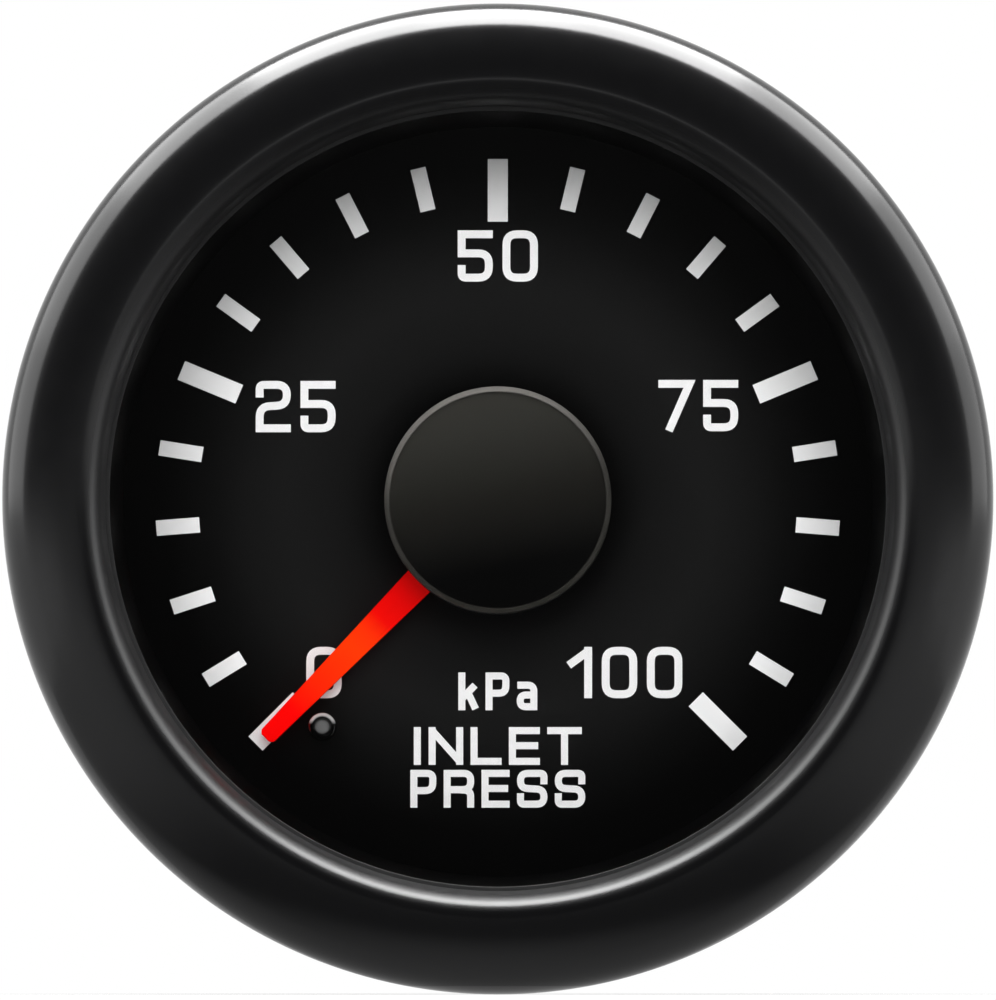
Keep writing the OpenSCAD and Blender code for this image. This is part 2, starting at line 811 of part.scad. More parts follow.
module sector_gear() {
    spoke_r = sector_pitch_r - root_share * gear_module - sector_rim_w / 2;
    spoke_in = 2;
    color([0.82, 0.68, 0.35]) facing() slab(sector_back, sector_front) translate(sector_centre) difference() {
        union() {
            sector_rim();
            circle(r = sector_hub_r);
            for (at = [sector_first + spoke_in, sector_last - spoke_in])
                bar([0, 0], polar(spoke_r, 90 + at * tooth_pitch), spoke_w);
            bar([0, 0], tail_pin - sector_centre, 2 * pin_head_r);
            translate(tail_pin - sector_centre) circle(r = eye_r, $fn = 48);
        }
        circle(r = sector_shaft_r + fixed_play, $fn = 48);
        translate(tail_pin - sector_centre) circle(r = pin_r + fixed_play, $fn = 48);
    }
}

module sector_arbor() {
    color([0.72, 0.72, 0.74]) facing() translate(sector_centre) {
        rod(sector_pivot_r, lower_back + pivot_short, upper_front - pivot_short);
        rod(sector_shaft_r, lower_front + face_play, upper_back - face_play);
    }
}

// A headed pin through a plate and an eye above it
module headed_pin(back, front) {
    rod(pin_r, back, front);
    rod(pin_head_r, front, front + pin_head_t);
}

module sector_pin() {
    color([0.72, 0.72, 0.74]) facing() translate(tail_pin) headed_pin(sector_back, pin_top);
}

module tip_link() {
    color([0.7, 0.7, 0.72]) facing() slab(link_back, link_front) translate(tail_pin) rotate(link_angle)
        difference() {
            union() {
                translate([0, -link_w / 2]) square([link_len, link_w]);
                circle(r = eye_r, $fn = 48);
                translate([link_len, 0]) circle(r = eye_r, $fn = 48);
            }
            circle(r = pin_r + pivot_play, $fn = 48);
            translate([link_len, 0]) circle(r = pin_r + open_pivot_play, $fn = 48);
        }
}

module bourdon_tube() {
    color([0.78, 0.55, 0.28]) facing() difference() {
        tube_stretch(0, tube_end_angle, tube_root_angle);
        tube_stretch(-tube_wall, tube_end_angle - tip_close, tube_root_angle + chamber_angle);
    }
}

module tube_tip() {
    color([0.8, 0.66, 0.32]) facing() {
        difference() {
            tube_stretch(tip_wall, tube_end_angle - tip_close, tube_end_angle + tip_hold);
            tube_stretch(fixed_play, tube_end_angle, tube_end_angle + tip_hold + chamber_angle);
        }
        slab(ear_back, ear_front) difference() {
            union() {
                bar(tip_pin_place, polar(tube_r, tube_end_angle - tip_close / 2), 2 * pin_head_r);
                translate(tip_pin_place) circle(r = eye_r, $fn = 48);
            }
            translate(tip_pin_place) circle(r = pin_r + fixed_play, $fn = 48);
        }
    }
}

module tip_pin() {
    color([0.72, 0.72, 0.74]) facing() translate(tip_pin_place) headed_pin(ear_back, pin_top);
}

module socket_block() {
    color([0.8, 0.66, 0.32]) facing() difference() {
        union() {
            rod(block_r, case_floor, lower_back);
            rotate(tube_root_angle) translate([0, -arm_w / 2, arm_back])
                cube([tower_out_r, arm_w, arm_t]);
            rotate(tube_root_angle) translate([tower_in_r, -arm_w / 2, arm_front])
                cube([tower_out_r - tower_in_r, arm_w, tower_top - arm_front]);
        }
        tube_stretch(fixed_play, tube_root_angle - slot_angle, tube_root_angle);
        tube_stretch(-tube_wall, tube_root_angle - chamber_angle, tube_root_angle + chamber_angle);
        rotate(tube_root_angle + riser_angle) translate([tube_r, 0, 0])
            rod(riser_r, gallery_z, tube_mid_z);
        rotate(tube_root_angle) translate([0, 0, gallery_z]) rotate([0, 90, 0])
            cylinder(r = gallery_r, h = tube_r + gallery_r);
        rod(inlet_bore / 2, case_floor - cut, gallery_z + gallery_r + gallery_point);
        rod(shank_r + fixed_play, case_floor - cut, case_floor + shank_len);
        for (place = block_screw_places) translate(place)
            rod(block_screw_r + fixed_play, lower_front - block_screw_len - back_break, lower_back + cut);
    }
}

module inlet_fitting() {
    color([0.8, 0.66, 0.32]) facing() difference() {
        union() {
            rod(shank_r, hex_front, case_floor + shank_len - back_break);
            slab(hex_back, hex_front) hexagon(inlet_af);
            rotate_extrude() polygon([[0, nose_back], [inlet_r - nose_bevel, nose_back],
                [inlet_r, nose_back + nose_bevel], [inlet_r, hex_back - neck_len],
                [neck_r, hex_back - neck_len], [neck_r, hex_back], [0, hex_back]]);
        }
        rod(inlet_bore / 2, nose_back - cut, case_floor + shank_len + cut);
    }
}

module fitting_washer() {
    color([0.55, 0.16, 0.1]) facing() slab(hex_front, case_back) difference() {
        circle(r = fitting_washer_r);
        circle(r = shank_r + fixed_play);
    }
}

module mounting_studs() {
    color([0.66, 0.67, 0.68]) facing() for (side = [-1, 1]) translate([side * stud_x, 0, 0])
        rotate_extrude($fn = 64) polygon([[0, stud_back], [stud_r - stud_bevel, stud_back],
            [stud_r, stud_back + stud_bevel], [stud_r, case_floor], [stud_head_r, case_floor],
            [stud_head_r, case_floor + stud_head_t], [0, case_floor + stud_head_t]]);
}

module stud_nuts() {
    color([0.66, 0.67, 0.68]) facing() for (side = [-1, 1]) translate([side * stud_x, 0, 0])
        slab(case_back - stud_nut_t, case_back) difference() {
            hexagon(stud_nut_af);
            circle(r = stud_r + fixed_play, $fn = 64);
        }
}

// The bracket's bent strip, seen along the strip's width
module bracket_outline() {
    corner_z = bridge_front + bend_r;
    out_r = bend_r + bracket_t;
    translate([-bracket_in + bend_r, bridge_back]) square([2 * (bracket_in - bend_r), bracket_t]);
    for (side = [0, 1]) mirror([side, 0]) {
        translate([bracket_in, corner_z]) square([bracket_t, -panel_gap - corner_z]);
        difference() {
            pie([bracket_in - bend_r, corner_z], out_r, -90, 0);
            translate([bracket_in - bend_r, corner_z]) circle(r = bend_r, $fn = 64);
        }
    }
}

module clamp_bracket() {
    half_w = bracket_w / 2;
    reach = bracket_in + bracket_t + cut;
    color([0.62, 0.63, 0.65]) facing() difference() {
        rotate([90, 0, 0]) translate([0, 0, -half_w]) linear_extrude(bracket_w) bracket_outline();
        rod(bracket_hole_r, bridge_back - cut, bridge_front + cut);
        for (side = [-1, 1]) translate([side * stud_x, 0, 0])
            rod(stud_r + bracket_play, bridge_back - cut, bridge_front + cut);
        for (side = [-1, 1]) difference() {
            translate([-reach, side > 0 ? half_w - leg_round : -half_w - cut, -panel_gap - leg_round])
                cube([2 * reach, leg_round + cut, leg_round + cut]);
            translate([-reach - cut, side * (half_w - leg_round), -panel_gap - leg_round])
                rotate([0, 90, 0]) cylinder(r = leg_round, h = 2 * (reach + cut));
        }
    }
}

module lock_washers() {
    color([0.55, 0.56, 0.58]) facing() for (side = [-1, 1]) translate([side * stud_x, 0, 0])
        slab(bridge_back - lock_washer_t, bridge_back) difference() {
            circle(r = lock_washer_r, $fn = 64);
            circle(r = stud_r + bracket_play, $fn = 64);
            translate([0, -lock_washer_slit / 2]) square([lock_washer_r + cut, lock_washer_slit]);
        }
}

// A knurled nut about a stud
module thumb_nut() {
    grip_r = thumb_r - thumb_collar_inset;
    difference() {
        union() {
            rod(thumb_r, thumb_front - thumb_collar_t, thumb_front);
            slab(thumb_back, thumb_front - thumb_collar_t) difference() {
                circle(r = grip_r, $fn = 64);
                for (i = [0:thumb_flutes - 1]) rotate(360 * i / thumb_flutes) translate([grip_r, 0])
                    circle(r = flute_r, $fn = 24);
            }
        }
        rod(stud_r + pivot_play, thumb_back - cut, thumb_front + cut);
    }
}

module thumb_nut_left() {
    color([0.7, 0.71, 0.72]) facing() translate([-stud_x, 0, 0]) thumb_nut();
}

module thumb_nut_right() {
    color([0.7, 0.71, 0.72]) facing() translate([stud_x, 0, 0]) thumb_nut();
}

module lamp_holder() {
    body_r = lamp_r - lamp_body_inset;
    color([0.09, 0.09, 0.1]) facing() translate([0, lamp_y, 0]) difference() {
        union() {
            rod(lamp_r, lamp_flange_front, lamp_front);
            rod(lamp_flange_r, lamp_flange_back, lamp_flange_front);
            slab(lamp_back, lamp_flange_back) difference() {
                circle(r = body_r, $fn = 64);
                for (i = [0:lamp_grips - 1]) rotate(360 * (i + 0.5) / lamp_grips) translate([body_r, 0])
                    circle(r = lamp_grip_r, $fn = 24);
            }
        }
        rod(bulb_stub_r + fixed_play, bulb_back, lamp_front + cut);
        for (side = [-1, 1]) translate([side * terminal_x - terminal_t / 2 - fixed_play,
            -terminal_w / 2 - fixed_play, lamp_back - cut])
            cube([terminal_t + 2 * fixed_play, terminal_w + 2 * fixed_play, terminal_root + cut]);
    }
}

module lamp_bulb() {
    color([0.95, 0.95, 0.9, 0.5]) facing() translate([0, lamp_y, 0]) rotate_extrude($fn = 64) union() {
        section(0, bulb_stub_r, bulb_back, lamp_front + fixed_play);
        section(0, bulb_r, lamp_front + fixed_play, bulb_front - bulb_r);
        pie([0, bulb_front - bulb_r], bulb_r, 0, 90);
    }
}

module lamp_terminals() {
    color([0.78, 0.78, 0.76]) facing() for (side = [-1, 1]) translate([side * terminal_x, lamp_y, 0])
        difference() {
            translate([-terminal_t / 2, -terminal_w / 2, lamp_back - terminal_len])
                cube([terminal_t, terminal_w, terminal_len + terminal_root]);
            translate([-terminal_t, 0, lamp_back - terminal_len + terminal_w / 2]) rotate([0, 90, 0])
                cylinder(r = terminal_hole_r, h = 2 * terminal_t, $fn = 32);
        }
}

bezel();
bezel_seal();
lens();
lens_gasket();
visor_ring();
dial();
dial_marks();
stop_pin();
light_ring();
gauge_case();
pointer();
hub_cap();
pinion_arbor();
hairspring();
hairspring_collet();
hairspring_stud();
upper_plate();
lower_plate();
plate_pillars();
plate_screws();
block_screws();
sector_gear();
sector_arbor();
sector_pin();
tip_link();
bourdon_tube();
tube_tip();
tip_pin();
socket_block();
inlet_fitting();
fitting_washer();
mounting_studs();
stud_nuts();
clamp_bracket();
lock_washers();
thumb_nut_left();
thumb_nut_right();
lamp_holder();
lamp_bulb();
lamp_terminals();
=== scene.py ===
import math

import bmesh
import bpy
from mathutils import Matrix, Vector


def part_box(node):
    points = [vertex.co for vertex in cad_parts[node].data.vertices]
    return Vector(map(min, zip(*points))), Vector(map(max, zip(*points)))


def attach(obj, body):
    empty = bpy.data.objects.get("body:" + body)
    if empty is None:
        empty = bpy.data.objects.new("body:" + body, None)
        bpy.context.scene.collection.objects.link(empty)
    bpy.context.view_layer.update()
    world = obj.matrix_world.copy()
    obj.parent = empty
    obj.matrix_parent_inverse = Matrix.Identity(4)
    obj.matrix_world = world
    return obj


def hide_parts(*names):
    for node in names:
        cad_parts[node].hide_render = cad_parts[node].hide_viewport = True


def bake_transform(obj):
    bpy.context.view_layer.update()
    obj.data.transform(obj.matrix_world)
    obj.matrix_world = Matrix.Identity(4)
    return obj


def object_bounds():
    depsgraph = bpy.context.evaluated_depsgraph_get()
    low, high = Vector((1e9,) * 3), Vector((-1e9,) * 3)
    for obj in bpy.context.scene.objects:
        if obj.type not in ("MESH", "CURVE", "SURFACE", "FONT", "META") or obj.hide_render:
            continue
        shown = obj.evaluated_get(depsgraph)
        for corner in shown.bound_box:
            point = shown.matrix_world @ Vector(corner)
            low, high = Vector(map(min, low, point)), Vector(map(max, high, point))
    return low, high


# The looks of a boost gauge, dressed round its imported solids. The dial faces -Y with its top at +Z.
# Lengths are in millimetres until mesh() writes them in metres. In the dial's own frame x runs right,
# y runs up, and a height runs towards the eye, so a height is minus the row's Y.

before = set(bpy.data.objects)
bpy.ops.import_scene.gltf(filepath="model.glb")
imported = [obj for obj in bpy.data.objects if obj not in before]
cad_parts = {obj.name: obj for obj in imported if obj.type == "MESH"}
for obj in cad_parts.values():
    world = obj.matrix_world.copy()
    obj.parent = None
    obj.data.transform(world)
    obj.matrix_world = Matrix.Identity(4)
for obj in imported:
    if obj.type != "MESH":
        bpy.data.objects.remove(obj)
cad_box = [list(corner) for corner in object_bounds()]

MM = 0.001
FULL_TURN = 2 * math.pi

# Levels and radii of the solids, as heights over the panel's face
BEZEL_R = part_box("bezel")[1].x / MM
BEZEL_CREST = -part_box("bezel")[0].y / MM
LENS_FRONT = -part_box("lens")[0].y / MM
LENS_BACK = -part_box("lens")[1].y / MM
DIAL_FRONT = -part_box("dial")[0].y / MM
DIAL_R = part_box("dial")[1].x / MM
CAP_TOP = -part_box("hub_cap")[0].y / MM
CAP_FOOT = -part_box("hub_cap")[1].y / MM
CAP_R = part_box("hub_cap")[1].x / MM
STOP_LOW, STOP_HIGH = [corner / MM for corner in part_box("stop_pin")]
CASE_BACK = -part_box("gauge_case")[1].y / MM

# Bezel
OPENING_R = 23.1
LIP_BACK = 4.5
LIP_LAND = 0.4
LIP_LEDGE = 0.25
LIP_BREAK = 0.03
CREST_IN = 1.85
CREST_ROUND = 1.4
FACE_ROUND = 9.0
EDGE_ROUND = 2.5
CRIMP_IN = 27.0
CRIMP_T = 0.6
GROOVE_R = 27.9
GROOVE_TOP = 2.1
POCKET_R = 25.3
EDGE_BREAK = 0.3

# Visor
VISOR_TOP_R = 23.4
VISOR_FOOT_R = 22.4

# Pointer and cap
REST_ANGLE = math.radians(225.6)
BLADE_R = 19.85
BLADE_BACK = -1.7
BLADE_FRONT = -0.9
BLADE_ROOT_W = 1.83
BLADE_TIP_W = 1.05
BLADE_TAIL = 4.6
BLADE_HUB_R = 2.4
BLADE_CORNER = 0.2
BLADE_EASE = 0.07
BLADE_BORE = 0.62
BLADE_BOSS_T = 0.7
CAP_BEVEL = 0.18
CAP_RIM = 0.3
CAP_GROOVE = 0.06
CAP_RIM_SINK = 0.02
CAP_DOME_SINK = 0.03
CAP_DISH = 0.3
CAP_WALL = 0.7
CAP_NOTCH_PLAY = 0.15
STOP_DOME = 0.62
STOP_RIVET_T = 0.4
STOP_SHANK_R = 0.5

# Printing on the dial. Heights of letters and strokes are read from the photograph.
PRINT_T = 0.03
PRINT_LIFT = 0.004
NUMBER_H = 3.07
NUMBER_STROKE = 0.47
NUMBER_GAP = 0.58
WORD_H = 2.26
WORD_STROKE = 0.42
WORD_GAP = 0.44
SIGN_ROUND = 0.3
# Numbers by middle and foot, and words by foot and width
NUMBERS = (("0", -10.4, -11.78), ("25", -12.1, 4.14), ("50", 0.0, 13.16), ("75", 12.0, 4.2),
           ("100", 7.54, -11.78))
WORDS = (("kPa", -12.5, 0.88), ("INLET", -15.77, 1.06), ("PRESS", -18.33, 0.96))

TURN_STEPS = 256
SMALL_STEPS = 72
STUD_STEPS = 48
ROWS_PER_PITCH = 8
GROOVE_STEEP = 1.3
SHARP = math.radians(32)


def srgb(text):
    """A linear colour from its sRGB hex value."""
    parts = [int(text[i:i + 2], 16) / 255 for i in (1, 3, 5)]
    linear = [c / 12.92 if c <= 0.04045 else ((c + 0.055) / 1.055) ** 2.4 for c in parts]
    return (*linear, 1.0)


def add_node(tree, kind, inputs=None, links=None, stops=None, **settings):
    """Adds one node with its settings, its own input values, its links and, on a colour ramp, its stops."""
    made = tree.nodes.new(kind)
    for name, value in settings.items():
        setattr(made, name, value)
    for socket, value in (inputs or {}).items():
        made.inputs[socket].default_value = value
    for socket, source in (links or {}).items():
        tree.links.new(source, made.inputs[socket])
    if stops:
        ramp = made.color_ramp.elements
        for end, (part, colour) in zip((ramp[0], ramp[1]), (stops[0], stops[-1])):
            end.position, end.color = part, srgb(colour)
        for part, colour in stops[1:-1]:
            ramp.new(part).color = srgb(colour)
    return made


# Materials


def surface(name, colour, roughness, metallic=0.0, **sockets):
    """A new material: its node tree, its shader and the piece's own coordinates."""
    made = bpy.data.materials.new(name)
    made.use_nodes = True
    tree = made.node_tree
    shader = tree.nodes["Principled BSDF"]
    shader.inputs["Base Color"].default_value = srgb(colour)
    shader.inputs["Roughness"].default_value = roughness
    shader.inputs["Metallic"].default_value = metallic
    for socket, value in sockets.items():
        shader.inputs[socket.replace("_", " ")].default_value = value
    place = add_node(tree, "ShaderNodeTexCoord").outputs["Object"]
    return made, tree, shader, place


def uneven(tree, shader, pattern, colours=None, roughness=None):
    """Lets a pattern from 0 to 1 vary the colour and the roughness of a finish."""
    if colours:
        ramp = add_node(tree, "ShaderNodeValToRGB", links={"Fac": pattern},
                        stops=((0.0, colours[0]), (1.0, colours[1])))
        tree.links.new(ramp.outputs["Color"], shader.inputs["Base Color"])
    if roughness:
        spread = add_node(tree, "ShaderNodeMapRange", links={"Value": pattern},
                          inputs={"To Min": roughness[0], "To Max": roughness[1]})
        tree.links.new(spread.outputs["Result"], shader.inputs["Roughness"])


def relief(tree, shader, pattern, depth, edge=0.0):
    """Raises a pattern on the surface by a depth in mm, and softens sharp edges by a radius in mm."""
    links = {"Height": pattern}
    if edge:
        soft = add_node(tree, "ShaderNodeBevel", inputs={"Radius": edge * MM}, samples=4)
        links["Normal"] = soft.outputs["Normal"]
    bump = add_node(tree, "ShaderNodeBump", inputs={"Strength": 1.0, "Distance": depth * MM}, links=links)
    tree.links.new(bump.outputs["Normal"], shader.inputs["Normal"])


def grain(tree, place, size, detail=3.0, stretch=(1, 1, 1)):
    """An uneven pattern whose lumps are about a size in mm, drawn out along an axis if asked."""
    drawn = add_node(tree, "ShaderNodeMapping", inputs={"Scale": stretch}, links={"Vector": place})
    return add_node(tree, "ShaderNodeTexNoise", inputs={"Scale": 1 / (size * MM), "Detail": detail},
                    links={"Vector": drawn.outputs["Vector"]}).outputs["Fac"]


def from_axis(tree, place):
    """How far a point lies from the dial's axis."""
    across = add_node(tree, "ShaderNodeVectorMath", operation="MULTIPLY", inputs={1: (1, 0, 1)},
                      links={0: place})
    return add_node(tree, "ShaderNodeVectorMath", operation="LENGTH",
                    links={0: across.outputs[0]}).outputs["Value"]


def bare_tree(name):
    """A new material without its usual shader: its node tree and the piece's own coordinates."""
    made = bpy.data.materials.new(name)
    made.use_nodes = True
    tree = made.node_tree
    tree.nodes.remove(tree.nodes["Principled BSDF"])
    return made, tree, add_node(tree, "ShaderNodeTexCoord").outputs["Object"]


def gloss_black_enamel():
    """Stoved enamel on a spun ring: deep black, mirror-like, with a faint ripple the eye reads as paint."""
    made, tree, shader, place = surface("gloss_black_enamel", "#060607", 0.14, IOR=1.5)
    relief(tree, shader, grain(tree, place, 2.5, 1.0), 0.002)
    # the paint is dry and dull down inside the ring, where the spray hardly reaches
    dry_r, wet_r = 23.4, 24.6
    dull = add_node(tree, "ShaderNodeMapRange", links={"Value": from_axis(tree, place)},
                    inputs={"From Min": dry_r * MM, "From Max": wet_r * MM, "To Min": 0.5, "To Max": 0.15})
    film = add_node(tree, "ShaderNodeMath", operation="MULTIPLY_ADD", inputs={1: 0.06},
                    links={0: grain(tree, place, 1.2), 2: dull.outputs["Result"]})
    tree.links.new(film.outputs[0], shader.inputs["Roughness"])
    return made


def satin_black_moulding():
    """Moulded black ABS: a fine spark texture that kills reflections."""
    made, tree, shader, place = surface("satin_black_moulding", "#0B0B0B", 0.55, Specular_IOR_Level=0.25)
    texture = grain(tree, place, 0.12)
    uneven(tree, shader, texture, ("#050505", "#0B0B0B"), (0.48, 0.66))
    relief(tree, shader, texture, 0.006, 0.12)
    return made


def matt_black_print():
    """Matt black screen ink on the dial: soft grey under light from the front, with painted shade towards
    the cap and the visor and a fine mesh grain.
    """
    made, tree, shader, place = surface("matt_black_print", "#141414", 0.6, Specular_IOR_Level=0.15)
    # mesh grain of the screen, 0.1 mm, drawn 1.5 times coarser so that it shows
    texture = grain(tree, place, 0.15)
    # painted shade: the black is palest half way out, and darkens inward under the cap and outward under the
    # visor
    along = add_node(tree, "ShaderNodeMapRange", inputs={"From Min": 0.0, "From Max": DIAL_R * MM},
                     links={"Value": from_axis(tree, place)})
    film = ((7.0, "#020202"), (9.0, "#0F0F0F"), (12.8, "#151515"), (14.9, "#101010"), (17.3, "#060606"),
            (20.0, "#000000"))
    ramp = add_node(tree, "ShaderNodeValToRGB", links={"Fac": along.outputs["Result"]},
                    stops=[(radius / DIAL_R, colour) for radius, colour in film])
    tree.links.new(ramp.outputs["Color"], shader.inputs["Base Color"])
    uneven(tree, shader, texture, roughness=(0.55, 0.7))
    relief(tree, shader, texture, 0.002)
    return made


def white_dial_ink():
    """White screen ink of the numbers: two coats, opaque, with a faintly uneven film."""
    made, tree, shader, place = surface("white_dial_ink", "#F9F9F9", 0.5, Specular_IOR_Level=0.3)
    film = grain(tree, place, 0.35)
    uneven(tree, shader, film, ("#F4F4F4", "#FDFDFD"), (0.42, 0.6))
    relief(tree, shader, film, 0.002)
    return made


def mark_ink_painted_shade():
    """Single-coat white ink of the marks, with painted shade: greyer at the dial's top and at their outer
    ends, white at its foot.
    """
    made, tree, shader, place = surface("mark_ink_painted_shade", "#DADADA", 0.45, Specular_IOR_Level=0.3)
    # painted shade: the lightness on the axis, and what it loses with each mm upwards and each mm outwards
    up_fall, out_fall, at_axis = 0.0205, 0.15, 3.56
    height = add_node(tree, "ShaderNodeSeparateXYZ", links={"Vector": place}).outputs["Z"]
    fall = add_node(tree, "ShaderNodeMath", operation="MULTIPLY_ADD", inputs={1: -up_fall / MM, 2: at_axis},
                    links={0: height})
    painted_lightness = add_node(tree, "ShaderNodeMath", operation="MULTIPLY_ADD", inputs={1: -out_fall / MM},
                     links={0: from_axis(tree, place), 2: fall.outputs[0]})
    uneven(tree, shader, painted_lightness.outputs[0], ("#969696", "#FFFFFF"))
    film = grain(tree, place, 0.25)
    uneven(tree, shader, film, roughness=(0.38, 0.6))
    relief(tree, shader, film, 0.004)
    return made


def red_lacquer_painted_glow():
    """Red lacquer with a painted glow that gives off more red than falls on it: painted shade darkens it by
    the cap, and a painted orange glow brightens it half way out.
    """
    made, tree, shader, place = surface("red_lacquer_painted_glow", "#FF1505", 0.4, Specular_IOR_Level=0.02)
    along = add_node(tree, "ShaderNodeMapRange", inputs={"From Min": 0.0, "From Max": BLADE_R * MM},
                     links={"Value": from_axis(tree, place)})
    # painted shade by the cap, a painted orange glow half way out and red to the tip, as shares of the
    # blade's reach from the cap to the tip
    glow_and_shade_stops = ((CAP_R / BLADE_R, "#C60202"), (0.42, "#DA0202"), (0.5, "#EA0602"), (0.56, "#F83002"),
            (0.62, "#FF3701"), (0.74, "#FF2901"), (0.83, "#FF1801"), (0.88, "#FF0100"), (1.0, "#FF0000"))
    ramp = add_node(tree, "ShaderNodeValToRGB", links={"Fac": along.outputs["Result"]}, stops=glow_and_shade_stops)
    tree.links.new(ramp.outputs["Color"], shader.inputs["Base Color"])
    # the same painted shade and glow also light the blade from within
    tree.links.new(ramp.outputs["Color"], shader.inputs["Emission Color"])
    shader.inputs["Emission Strength"].default_value = 0.16
    uneven(tree, shader, grain(tree, place, 0.3), roughness=(0.32, 0.45))
    return made


def warm_black_cap():
    """Moulded black cap, polished and warm brown-black, with painted light: paler above and deep black at
    its foot, and a painted highlight on its rim, brightest on top.
    """
    made, tree, shader, place = surface("warm_black_cap", "#1A1916", 0.3, Specular_IOR_Level=0.12)
    # painted light from above: the position in the room, so that the painted pale side stays on top as the
    # cap turns
    spot = add_node(tree, "ShaderNodeNewGeometry").outputs["Position"]
    lean = add_node(tree, "ShaderNodeVectorMath", operation="DOT_PRODUCT", inputs={1: (-0.2, 0, 1)},
                    links={0: spot})
    lit_from_above = add_node(tree, "ShaderNodeMapRange", links={"Value": lean.outputs["Value"]},
                    inputs={"From Min": -4.0 * MM, "From Max": 6.5 * MM})
    # painted light and shade on the dome, and a painted highlight on the rim's bevel below, both brightest
    # at the top
    face = add_node(tree, "ShaderNodeValToRGB", links={"Fac": lit_from_above.outputs["Result"]},
                    stops=((0.0, "#000000"), (0.38, "#191815"), (0.81, "#2D2D29"), (1.0, "#31302C")))
    edge = add_node(tree, "ShaderNodeValToRGB", links={"Fac": lit_from_above.outputs["Result"]},
                    stops=((0.0, "#302F2C"), (0.45, "#3A3936"), (1.0, "#807D79")))
    rim = add_node(tree, "ShaderNodeMapRange", links={"Value": from_axis(tree, place)},
                   inputs={"From Min": (CAP_R - CAP_RIM - CAP_GROOVE) * MM,
                           "From Max": (CAP_R - CAP_RIM) * MM})
    skin = add_node(tree, "ShaderNodeMix", data_type="RGBA",
                    links={0: rim.outputs["Result"], 6: face.outputs["Color"], 7: edge.outputs["Color"]})
    tree.links.new(skin.outputs[2], shader.inputs["Base Color"])
    uneven(tree, shader, grain(tree, place, 0.8), roughness=(0.26, 0.36))
    return made


def gloss_black_pin():
    """Black-dipped steel pin, gloss, with painted highlights: a pale crescent on its upper shoulder and a
    pale spot on its very top.
    """
    made, tree, shader, place = surface("gloss_black_pin", "#070707", 0.16, IOR=1.52)
    normal = add_node(tree, "ShaderNodeNewGeometry").outputs["Normal"]
    facing = add_node(tree, "ShaderNodeSeparateXYZ", links={"Vector": normal}).outputs
    ahead = add_node(tree, "ShaderNodeMath", operation="MULTIPLY", inputs={1: -1.0},
                     links={0: facing["Y"]})
    # painted highlights by which way the surface faces: a spot where it faces the eye, a crescent where its
    # shoulder faces up
    top = add_node(tree, "ShaderNodeValToRGB", links={"Fac": ahead.outputs[0]},
                   stops=((0.93, "#070707"), (1.0, "#606060")))
    painted_crescent = add_node(tree, "ShaderNodeValToRGB", links={"Fac": ahead.outputs[0]},
                        stops=((0.2, "#070707"), (0.42, "#CFCFCF"), (0.66, "#CFCFCF"), (0.82, "#070707")))
    upper = add_node(tree, "ShaderNodeMapRange", inputs={"From Min": 0.15, "From Max": 0.45},
                     links={"Value": facing["Z"]})
    skin = add_node(tree, "ShaderNodeMix", data_type="RGBA",
                    links={0: upper.outputs["Result"], 6: top.outputs["Color"],
                           7: painted_crescent.outputs["Color"]})
    tree.links.new(skin.outputs[2], shader.inputs["Base Color"])
    uneven(tree, shader, grain(tree, place, 0.5), roughness=(0.12, 0.24))
    return made


def clear_lens():
    """Clear flat glass: only its edge-on reflections show."""
    made, tree, place = bare_tree("clear_lens")
    haze = add_node(tree, "ShaderNodeMapRange", links={"Value": grain(tree, place, 6.0)},
                    inputs={"To Min": 0.0, "To Max": 0.03})
    clear = add_node(tree, "ShaderNodeBsdfTransparent", inputs={"Color": srgb("#FDFDFD")})
    mirror = add_node(tree, "ShaderNodeBsdfGlossy", inputs={"Color": srgb("#FFFFFF")},
                      links={"Roughness": haze.outputs["Result"]})
    share = add_node(tree, "ShaderNodeFresnel", inputs={"IOR": 1.2})
    both = add_node(tree, "ShaderNodeMixShader",
                    links={0: share.outputs[0], 1: clear.outputs[0], 2: mirror.outputs[0]})
    tree.links.new(both.outputs[0], tree.nodes["Material Output"].inputs["Surface"])
    return made


def bulb_glass():
    """Thin bulb glass: clear, with bright edges."""
    made = clear_lens()
    made.name = "bulb_glass"
    return made


def black_stoved_steel():
    """Drawn steel case under semi-gloss black paint: a soft orange peel, duller than the bezel."""
    made, tree, shader, place = surface("black_stoved_steel", "#161617", 0.34, IOR=1.5)
    peel = grain(tree, place, 0.7, 2.0)
    uneven(tree, shader, peel, ("#121213", "#1A1A1B"), (0.28, 0.42))
    relief(tree, shader, peel, 0.012, 0.15)
    return made


def turned_brass():
    """Turned and stamped brass: warm yellow, with fine tool lines and a little tarnish."""
    made, tree, shader, place = surface("turned_brass", "#D8B468", 0.3, 1.0)
    tarnish = grain(tree, place, 1.6)
    uneven(tree, shader, tarnish, ("#C39A50", "#E2C27C"), (0.22, 0.4))
    lines = grain(tree, place, 0.35, 2.0, (1, 9, 1))
    relief(tree, shader, lines, 0.003, 0.1)
    return made


def drawn_bronze():
    """Drawn phosphor bronze: redder than brass, with lines along the draw."""
    made, tree, shader, place = surface("drawn_bronze", "#C98F52", 0.28, 1.0)
    stain = grain(tree, place, 1.4)
    uneven(tree, shader, stain, ("#B57B42", "#D6A062"), (0.22, 0.38))
    return made


def bright_steel():
    """Turned bright steel: cool grey and sharp, with fine tool lines."""
    made, tree, shader, place = surface("bright_steel", "#B9BBBD", 0.25, 1.0)
    lines = grain(tree, place, 0.3, 2.0, (1, 10, 1))
    uneven(tree, shader, lines, ("#A6A8AB", "#C6C8CA"), (0.2, 0.34))
    relief(tree, shader, lines, 0.002, 0.08)
    return made


